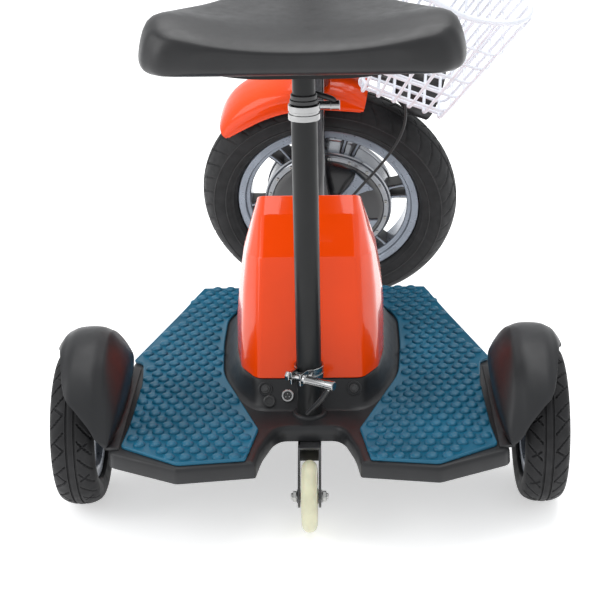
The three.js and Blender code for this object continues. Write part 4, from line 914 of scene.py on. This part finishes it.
SPOKE_FIRST = 42
SPOKE_HALF = 5
spokes, webs = [], []
for k in range(6):
    for way in (-1, 1):
        bar = loft([spoke_ring(97, 2.4, 16), spoke_ring(108, 1.7, 13.4), spoke_ring(122, 1.7, 13.4),
                    spoke_ring(131, 2.8, 16)])
        web = loft([spoke_ring(100, 4.6, 12), spoke_ring(110, 3.9, 11.6), spoke_ring(129.5, 4.8, 12.6)])
        webs.append(turned_piece(web, SPOKE_FIRST + 60 * k + way * SPOKE_HALF))
        spokes.append(turned_piece(bar, SPOKE_FIRST + 60 * k + way * SPOKE_HALF))
build("front_rim", [turned([*front_rim, front_rim[0]], HUB, (1, 0, 0), 144), *spokes], STEERING,
      "front_wheel", cast_silver, ["wheel_front"], bevel=0.8)
build("spoke_webs", webs, STEERING, "front_wheel", fitting, bevel=0.6)
shell_steel = finish("polished_shell", (0.28, 0.29, 0.31), 0.2, 0.9, (0.7, 0.01), (30, 0.12), 0.04)
build("motor_shell", [turned([
    (6.3, -40), (23, -40), (25, -38), (30, -32), (34, -31), (84, -30), (90, -28.6), (98, -27), (100, -25.4),
    (101, -22), (103, -20.6), (103, -13), (101.4, -12), (101.4, 12), (103, 13), (103, 20.6), (101, 22),
    (100, 25.4), (98, SHELL_FACE), (91.4, SHELL_FACE), (90.3, 26), (90.3, 24), (6.3, 24), (6.3, -40)], HUB,
    (1, 0, 0), 128)],
      STEERING, "front_wheel", shell_steel)
screws = []
for k in range(18):
    a = math.radians(20 * k + 8)
    for h, way in ((SHELL_FACE, 1), (-28, -1)):
        spot = HUB + Vector((h, 94.6 * math.cos(a), 94.6 * math.sin(a)))
        screws.append(turned([(0, 0.8), (1.1, 0.8), (1.3, 2), (2.2, 2), (2.7, 1.4), (2.7, -0.8), (0, -0.8)],
                             spot, (way, 0, 0), 16))
build("shell_screws", screws, STEERING, "front_wheel", zinc)
build("hub_disc", [turned([
    (6.3, 24.3), (89, 24.3), (90, 25), (90, 26.4), (88.6, 28), (82, 30), (60, 32), (40, 34), (31, 35),
    (27, 37.4), (25, 38), (6.3, 38), (6.3, 24.3)], HUB, (1, 0, 0), 128)], STEERING, "front_wheel", enamel,
    ["hub_cover"])
arms = []
for k in range(5):
    stations = ((19, 7, 38.4), (26, 7.4, 38.3), (33, 7.8, 35.6), (45, 8.6, 34.4), (60, 11, 32.8),
                (74, 16, 31.4), (82, 21, 30.6))
    arm = loft([[(h + 2.2, -w, r), (h + 2.2, w, r), (h - 2, w + 0.8, r), (h - 2, -w - 0.8, r)]
                for r, w, h in stations])
    arms.append(turned_piece(arm, -47 + 72 * k))
build("hub_star", arms, STEERING, "front_wheel", cast_silver, bevel=0.9)
build("front_spindle", [
    rod(6, HUB - Vector((76, 0, 0)), HUB + Vector((76, 0, 0))),
    *[rod(9, HUB + Vector((s * 41, 0, 0)), HUB + Vector((s * 51.7, 0, 0))) for s in (-1, 1)],
    *[rod(13, HUB + Vector((s * 64.3, 0, 0)), HUB + Vector((s * 66.4, 0, 0))) for s in (-1, 1)],
    *[hexagon(11, HUB + Vector((s * 66.2, 0, 0)), HUB + Vector((s * 73, 0, 0))) for s in (-1, 1)]],
      STEERING, "steering", zinc, ["front_axle"])

# ---- front fender --------------------------------------------------------------------------------
# A band of glossy orange plastic bowed over the tyre, narrowing at both ends, hung from the fork
# crown by one stud.
BAND_START = 74
BAND_END = 137
BAND_TAPER = 15
BAND_STEPS = 66
band_outer = [(50, 206), (50.5, 218), (45, 230), (32, 238), (15, 241.4), (0, 242)]
band_inner = [(47.5, 206), (47.8, 217), (42.5, 227.5), (30.5, 235), (14.5, 238.4), (0, 239)]


def band_ring(angle):
    near = max(0, 1 - min(angle - BAND_START, BAND_END - angle) / BAND_TAPER)
    turn = math.radians(angle)
    sides = []
    for edge in (band_outer, band_inner):
        whole = smooth([*[(x, r, 0) for x, r in edge], *[(-x, r, 0) for x, r in reversed(edge[:-1])]], 4)
        radii = [218 + (p[1] - 218) * (1 - 0.5 * near * near) for p in whole]
        sides.append([(p[0], 23 + r * math.cos(turn), r * math.sin(turn)) for p, r in zip(whole, radii)])
    return [*sides[0], *reversed(sides[1])]


band = [band_ring(BAND_START + (BAND_END - BAND_START) * i / BAND_STEPS) for i in range(BAND_STEPS + 1)]
points, faces = loft(band, ends=False)
count = len(band[0])
faces += end_strip(0, count, True) + end_strip(BAND_STEPS * count, count, False)
build("front_fender", [(points, faces), rod(7, (0, 0, 237), (0, 0, 246.7))], STEERING, "steering", orange,
      ["fender_front"], sharp=60)
ROLL_STEPS = 60


def roll_point(side, t):
    """A point of the rolled edge, t degrees round the wheel."""
    near_end = max(0, 1 - min(t - BAND_START, BAND_END - t) / BAND_TAPER)
    radius = 218 - 12 * (1 - 0.5 * near_end ** 2)
    return (side * 48.9, 23 + radius * math.cos(math.radians(t)), radius * math.sin(math.radians(t)))


build("fender_edge_roll", [
    tube([roll_point(s, BAND_START + 1 + (BAND_END - BAND_START - 2) * i / ROLL_STEPS)
          for i in range(ROLL_STEPS + 1)], 1.9, 10)
    for s in (-1, 1)], STEERING, "steering", orange)
build("fender_nut", [hexagon(8, (0, 0, 232.5), (0, 0, 238.4)), rod(10.5, (0, 0, 237.6), (0, 0, 239.4))],
      STEERING, "steering", zinc)

# ---- folding stem --------------------------------------------------------------------------------
# A clevis clamped on the steerer, a tube that folds back on its pin, and a pressed latch that hooks
# over a catch to hold the tube up.
LATCH_AT = (24.5, 431)
HINGE_S = 458
BAR_S = 858
lug_line = rounded([(-14, 436), (14, 436), (14, 472), (-14, 472)], [1, 1, 13.5, 13.5], 10)
build("stem_clevis", [
    turned([(14.6, 404.3), (19, 404.3), (20, 405.3), (20, 436), (17, 440), (0, 440), (0, 431), (14.6, 431),
            (14.6, 404.3)], (0, 0, 0), (0, 0, 1)),
    *[loft([[(s * x, p[0], p[1]) for p in lug_line] for x in (11, 17)]) for s in (-1, 1)],
    *[block(min(s * 9, s * 12), max(s * 9, s * 12), 12, 28.5, 426, 436) for s in (-1, 1)],
    rod(5, (-20, 0, HINGE_S), (20, 0, HINGE_S)),
    rod(2, (-12, *LATCH_AT), (12, *LATCH_AT), 16, 0.3)], STEERING, "steering", enamel, ["stem_foot"],
    bevel=0.8)
build("clevis_bolts", [hexagon(6, (s * 17, 0, HINGE_S), (s * 21.5, 0, HINGE_S)) for s in (-1, 1)], STEERING,
      "steering", zinc)
build("stem_tube", [
    rod(14, (-10.6, 0, HINGE_S), (10.6, 0, HINGE_S)), block(-10.6, 10.6, -13, 13, HINGE_S, 484),
    rod(16, (0, 0, 480), (0, 0, BAR_S)), rod(17.6, (0, 0, 480), (0, 0, 486), 40, 1.5),
    rod(16.5, (-23, 0, BAR_S), (23, 0, BAR_S), 40, 1.5), block(-6, 6, 12, 22.2, 488, 496)],
      STEERING, "stem", satin, ["stem"], bevel=0.8)
build("bar_clamp_bolts", [hexagon(3.6, (s * 15, 15.5, BAR_S - 3), (s * 15, 21, BAR_S - 3)) for s in (-1, 1)],
      STEERING, "stem", zinc)
build("latch_strap", [
    rod(4, (-8.6, *LATCH_AT), (8.6, *LATCH_AT)),
    loft([level(rounded([(-8.6, 22.6), (8.6, 22.6), (8.6, 26.4), (-8.6, 26.4)], 1), z)
          for z in (431, 506, 512)]),
    block(-8.6, 8.6, 22.6, 33.4, 508, 512)], STEERING, "latch", plate_bright, ["stem_latch"], bevel=0.7)

# ---- handlebar and grips -------------------------------------------------------------------------
# A swept chromed bar with a ribbed rubber grip on the left and a twist throttle on the right.
BAR_END = Vector((300, -58, 890))
GRIP_LEN = 112
bar_half = [Vector(p) for p in ((60, 0, 858), (112, -3, 874), (165, -18, 884), (300, -58, 890))]
bar_line = [Vector((-p.x, p.y, p.z)) for p in reversed(bar_half)] + bar_half
bar_path = [Vector(p) for p in (bar_line[0], *smooth(bar_line[1:-1], 10), bar_line[-1])]
build("swept_bar", [tube(bar_path, 11, 40)], STEERING, "stem", plate_bright, ["handlebar"], bevel=0.6)
soft_rubber = finish("grip_rubber", (0.02, 0.02, 0.021), 0.6, 0, (0.7, 0.03), (20, 0.25), 0.03)
way_out = (bar_half[3] - bar_half[2]).normalized()


def bar_side(s, along):
    """A point at a distance beyond the end of the bar, on side s."""
    p = BAR_END + way_out * along
    return Vector((s * p.x, p.y, p.z))


def ribbed(r, h, along):
    return 1.1 if r > 15 and h > -100 and h < 0 and (along * 16) % 5.03 < 1.8 else 0


ring_ribs = [(r, -100 + 5 * k + d) for k in range(20) for d, r in ((0, 16), (2.9, 16), (3.6, 15), (4.5, 15))]
flange = [(11.5, -112), (19, -112), (20, -111), (20, -108.5), (19, -107.4), (16.5, -106)]
knob = [(16, 0.6), (15.4, 2.6), (13.4, 4.4), (11, 5), (0, 5)]
bar_grip = [*flange, *ring_ribs, *knob]
twist_grip = [*flange, *[(16, -104 + 4 * k) for k in range(27)], *knob]
for name, s, section, body, node in (("rubber_grip", -1, bar_grip, "stem", "grip_left"),
                                     ("twist_grip", 1, twist_grip, "throttle", "throttle_grip")):
    out = Vector((s * way_out.x, way_out.y, way_out.z))
    shape = turned(section, bar_side(s, 0), out, 64)
    if s > 0:
        shape = treaded(section[:-1], bar_side(s, 0), out, ribbed, 0.5)
    build(name, [shape], STEERING, body, soft_rubber, [node], sharp=40)

# ---- brake lever ---------------------------------------------------------------------------------
# A forged lever on a plastic perch inboard of the left grip, pulling a sheathed cable.


def perch_at(along, forward, up=0.0):
    return bar_side(-1, along) + Vector((0, forward, up))


LEVER_D = -GRIP_LEN - 12
LEVER_F = 27
left_out = Vector((-way_out.x, way_out.y, way_out.z))
lug_middle = perch_at(LEVER_D, 16)
build("lever_perch", [
    rod(16.5, perch_at(-132, 0), perch_at(-116, 0), 48, 1.2),
    *[block(lug_middle.x - 7, lug_middle.x + 7, lug_middle.y - 12, lug_middle.y + 14, lug_middle.z + h - 2,
            lug_middle.z + h + 2) for h in (-7, 7)],
    rod(2.5, perch_at(LEVER_D, LEVER_F, -9), perch_at(LEVER_D, LEVER_F, 9)),
    rod(4.5, perch_at(LEVER_D, LEVER_F, 8.4), perch_at(LEVER_D, LEVER_F, 10.4))],
      STEERING, "stem", fitting, ["brake_perch"], bevel=0.8)
lever_path = smooth([perch_at(LEVER_D, LEVER_F + 2), perch_at(-98, 48), perch_at(-60, 48),
                     perch_at(-8, 44)], 12)
lever_width = [5.2 - 1.6 * i / (len(lever_path) - 1) for i in range(len(lever_path))]
ball = [(6 * math.sin(math.radians(a)), -6 * math.cos(math.radians(a))) for a in range(0, 181, 12)]
build("forged_lever", [
    rod(6, perch_at(LEVER_D, LEVER_F, -4.6), perch_at(LEVER_D, LEVER_F, 4.6)),
    tube(lever_path, lever_width, 20), turned(ball, lever_path[-1], left_out, 24)],
      STEERING, "brake", cast_silver, ["brake_lever"])

# ---- console -------------------------------------------------------------------------------------
# A small moulded housing over the bar clamp with a charge window, the ignition lock with its key, and
# an orange horn button.
CONSOLE_LOW = 874.8
CONSOLE_TOP = 896.8
face = rounded([(-44, -24), (44, -24), (44, 24), (-44, 24)], 9, 6)
build("console_housing", [loft([level(inset(face, d), z) for z, d in (
    (CONSOLE_LOW, 2), (CONSOLE_LOW + 1, 0.6), (CONSOLE_LOW + 8, 0), (CONSOLE_TOP - 4, 0.4),
    (CONSOLE_TOP - 1.2, 2), (CONSOLE_TOP, 4.6))])], STEERING, "stem", moulded, ["console"], sharp=50)
window = rounded([(-15, -13), (15, -13), (15, 13), (-15, 13)], 3, 4)
glass = finish("lamp_glass", (0.80, 0.84, 0.86), 0.06, 0, (9, 0.004), (60, 0.02), 0.0,
               [("Transmission Weight", 0.75), ("IOR", 1.46)])
build("console_window", [loft([level(inset(window, d), z) for z, d in (
    (CONSOLE_TOP - 2, 0), (CONSOLE_TOP + 0.3, 0), (CONSOLE_TOP + 0.9, 0.8))])], STEERING, "stem", fitting)
build("lock_and_key", [
    turned([(0, CONSOLE_TOP - 8), (6.6, CONSOLE_TOP - 8), (7, CONSOLE_TOP), (8.6, CONSOLE_TOP),
            (8.6, CONSOLE_TOP + 1.2), (6.4, CONSOLE_TOP + 2), (0, CONSOLE_TOP + 2)], (29, 0, 0), (0, 0, 1),
            40),
    block(28.1, 29.9, -4.5, 4.5, CONSOLE_TOP + 1, CONSOLE_TOP + 14),
    loft([[(x, p[0], p[1]) for p in rounded([(-10, CONSOLE_TOP + 13), (10, CONSOLE_TOP + 13),
                                             (10, CONSOLE_TOP + 28), (-10, CONSOLE_TOP + 28)], 6)]
          for x in (27.7, 30.3)])],
      STEERING, "key", plate_bright, ["key_switch"], bevel=0.4)
build("horn_push", [turned([
    (0, CONSOLE_TOP - 6), (7, CONSOLE_TOP - 6), (7, CONSOLE_TOP + 2.6), (6, CONSOLE_TOP + 4),
    (3.6, CONSOLE_TOP + 4.8), (0, CONSOLE_TOP + 5)], (-29, 0, 0), (0, 0, 1), 40)], STEERING, "horn", orange,
    ["horn_button"])
build("horn_ring", [turned([
    (7.4, CONSOLE_TOP - 1), (9.6, CONSOLE_TOP - 1), (9.6, CONSOLE_TOP + 1), (8.8, CONSOLE_TOP + 1.8),
    (7.4, CONSOLE_TOP + 1.6), (7.4, CONSOLE_TOP - 1)], (-29, 0, 0), (0, 0, 1), 40)], STEERING, "stem",
    fitting)

# ---- cables --------------------------------------------------------------------------------------
# The brake cable's sheath runs from the perch down to the stem, and the motor lead from the axle end
# up the fork leg to the crown.
sheath = finish("cable_sheath", (0.014, 0.014, 0.015), 0.42, 0, (1.4, 0.02), (20, 0.2), 0.02)
brake_run = [perch_at(-132.3, 0) + Vector((7, 17, 0)), (-120, 22, 880), (-70, 42, 856), (-22, 40, 814),
             (0, 30, 798), (0, 16.3, 796)]
build("brake_sheath", [tube(smooth(brake_run, 14), 2.4, 16)], STEERING, "stem", sheath, ["brake_cable"])
motor_run = [(69, 41, 6), (67, 57, 40), (55, 121, 128), (52, 145, 190), (44, 135, 245), (34, 85, 264),
             (30, 33, 258)]
build("motor_lead", [tube(smooth(motor_run, 14), 2.2, 16)], STEERING, "steering", sheath, ["motor_cable"])

# ---- headlight -----------------------------------------------------------------------------------
# A round lamp in a black bell on a flat steel strap, with a bright dish behind a domed glass.
LAMP = Vector((0, 0, 458))
build("lamp_bell", [
    turned([(0, 676), (12, 676), (15, 678), (30, 690), (40, 708), (42.6, 720), (43, 726), (43, 742),
            (42, 743), (39, 743), (38, 736), (0, 736)], LAMP, (0, 1, 0), 72),
    block(-11, 11, 575.6, 690, 452, 456), rod(5, (0, 640, 448), (0, 640, 460))],
      STRAIGHT, "steering", fitting, ["headlight"], bevel=0.5)
build("lamp_dish", [turned([(0, 736.2), (6, 736.3), (37.6, 736.3), (37.6, 737), (0, 736.8)], LAMP,
                           (0, 1, 0), 64)],
      STRAIGHT, "steering", plate_bright)
build("lamp_lens", [turned([
    (0, 737.2), (37.3, 737.2), (37.5, 739), (35, 741.2), (26, 743), (12, 743.8), (0, 744)], LAMP, (0, 1, 0),
    64)],
      STRAIGHT, "steering", glass, ["headlight_lens"])

# ---- basket --------------------------------------------------------------------------------------
# Welded wire, dipped in white plastic: a fine mesh of U-shaped wires and hoops hung from one thick
# top wire that dips at the sides. It is hooked on a plate bracket clamped round the stem's foot.
BASKET_LOW = 506
BASKET_HIGH = 700
WIRE_R = 2.4
floor_half, floor_back, floor_front = 138, 606, 740
top_half, top_back, top_front = 160, 602, 782


def mix(a, b, share):
    return a + (b - a) * share


def basket_loop(z, dip, corner):
    share = (z - BASKET_LOW) / (BASKET_HIGH - BASKET_LOW)
    x, back, front = (mix(*pair, share) for pair in ((floor_half, top_half), (floor_back, top_back),
                                                     (floor_front, top_front)))
    middle_y = (back + front) / 2
    corners = [(x, back, z + dip), (x, middle_y, z - dip), (x, front, z + dip), (-x, front, z + dip),
               (-x, middle_y, z - dip), (-x, back, z + dip)]
    return bent(corners, corner, True)


def bent(corners, reach, closed=False):
    """Straight runs joined by round corners."""
    corners = [Vector(p) for p in corners]
    line = []
    for i, corner in enumerate(corners):
        if not closed and i in (0, len(corners) - 1):
            line.append(corner)
            continue
        back = corners[i - 1] - corner
        on = corners[(i + 1) % len(corners)] - corner
        length = min(reach, back.length / 2.05, on.length / 2.05)
        start, end = corner + back.normalized() * length, corner + on.normalized() * length
        line += [start * (1 - t) ** 2 + corner * 2 * t * (1 - t) + end * t * t
                 for t in (k / 7 for k in range(8))]
    return line


white_dip = finish("white_dipped_wire", (0.76, 0.78, 0.84), 0.3, 0.05, (1.5, 0.02), (30, 0.06), 0.0,
                   [("Coat Weight", 0.3)])
rim_path = basket_loop(BASKET_HIGH, 14, 44)
wires = [tube(rim_path, 4.4, 20, closed=True)]
for z in (524, 555, 586, 616, 646):
    wires.append(tube(basket_loop(z, 0, 26), WIRE_R, 10, closed=True))
ACROSS = 6
ALONG = 9
for k in range(ACROSS):
    share = 0.06 + 0.88 * k / (ACROSS - 1)
    low_y, high_y = mix(floor_back, floor_front, share), mix(top_back, top_front, share)
    top_z = BASKET_HIGH - 14 + 25 * abs(2 * share - 1)
    wires.append(tube(bent([(-top_half, high_y, top_z), (-floor_half, low_y, BASKET_LOW),
                            (floor_half, low_y, BASKET_LOW), (top_half, high_y, top_z)], 14), WIRE_R, 10))
for k in range(ALONG):
    share = -0.88 + 1.76 * k / (ALONG - 1)
    wires.append(tube(bent([(share * top_half, top_back, BASKET_HIGH + 13),
                            (share * floor_half, floor_back, BASKET_LOW),
                            (share * floor_half, floor_front, BASKET_LOW),
                            (share * top_half, top_front, BASKET_HIGH + 13)], 14), WIRE_R, 10))
build("wire_basket", wires, STRAIGHT, "steering", white_dip, ["basket"], sharp=50)
foot_ring = turned([(20.3, 407), (23.4, 407), (24, 407.8), (24, 418.2), (23.4, 419), (20.3, 419),
                    (20.3, 407)],
                   (0, 0, 0), (0, 0, 1))
straight_steering = STRAIGHT.inverted() @ STEERING
build("basket_arm", [([straight_steering @ p for p in foot_ring[0]], foot_ring[1]),
                     loft([[(x, y, z) for x, z in ((-14, 585), (14, 585), (14, 590), (-14, 590))]
                           for y in (514, 596)]),
                     block(-50, 50, 592.5, 596, 560, 650)], STRAIGHT, "steering", enamel, ["basket_bracket"],
      bevel=0.6)
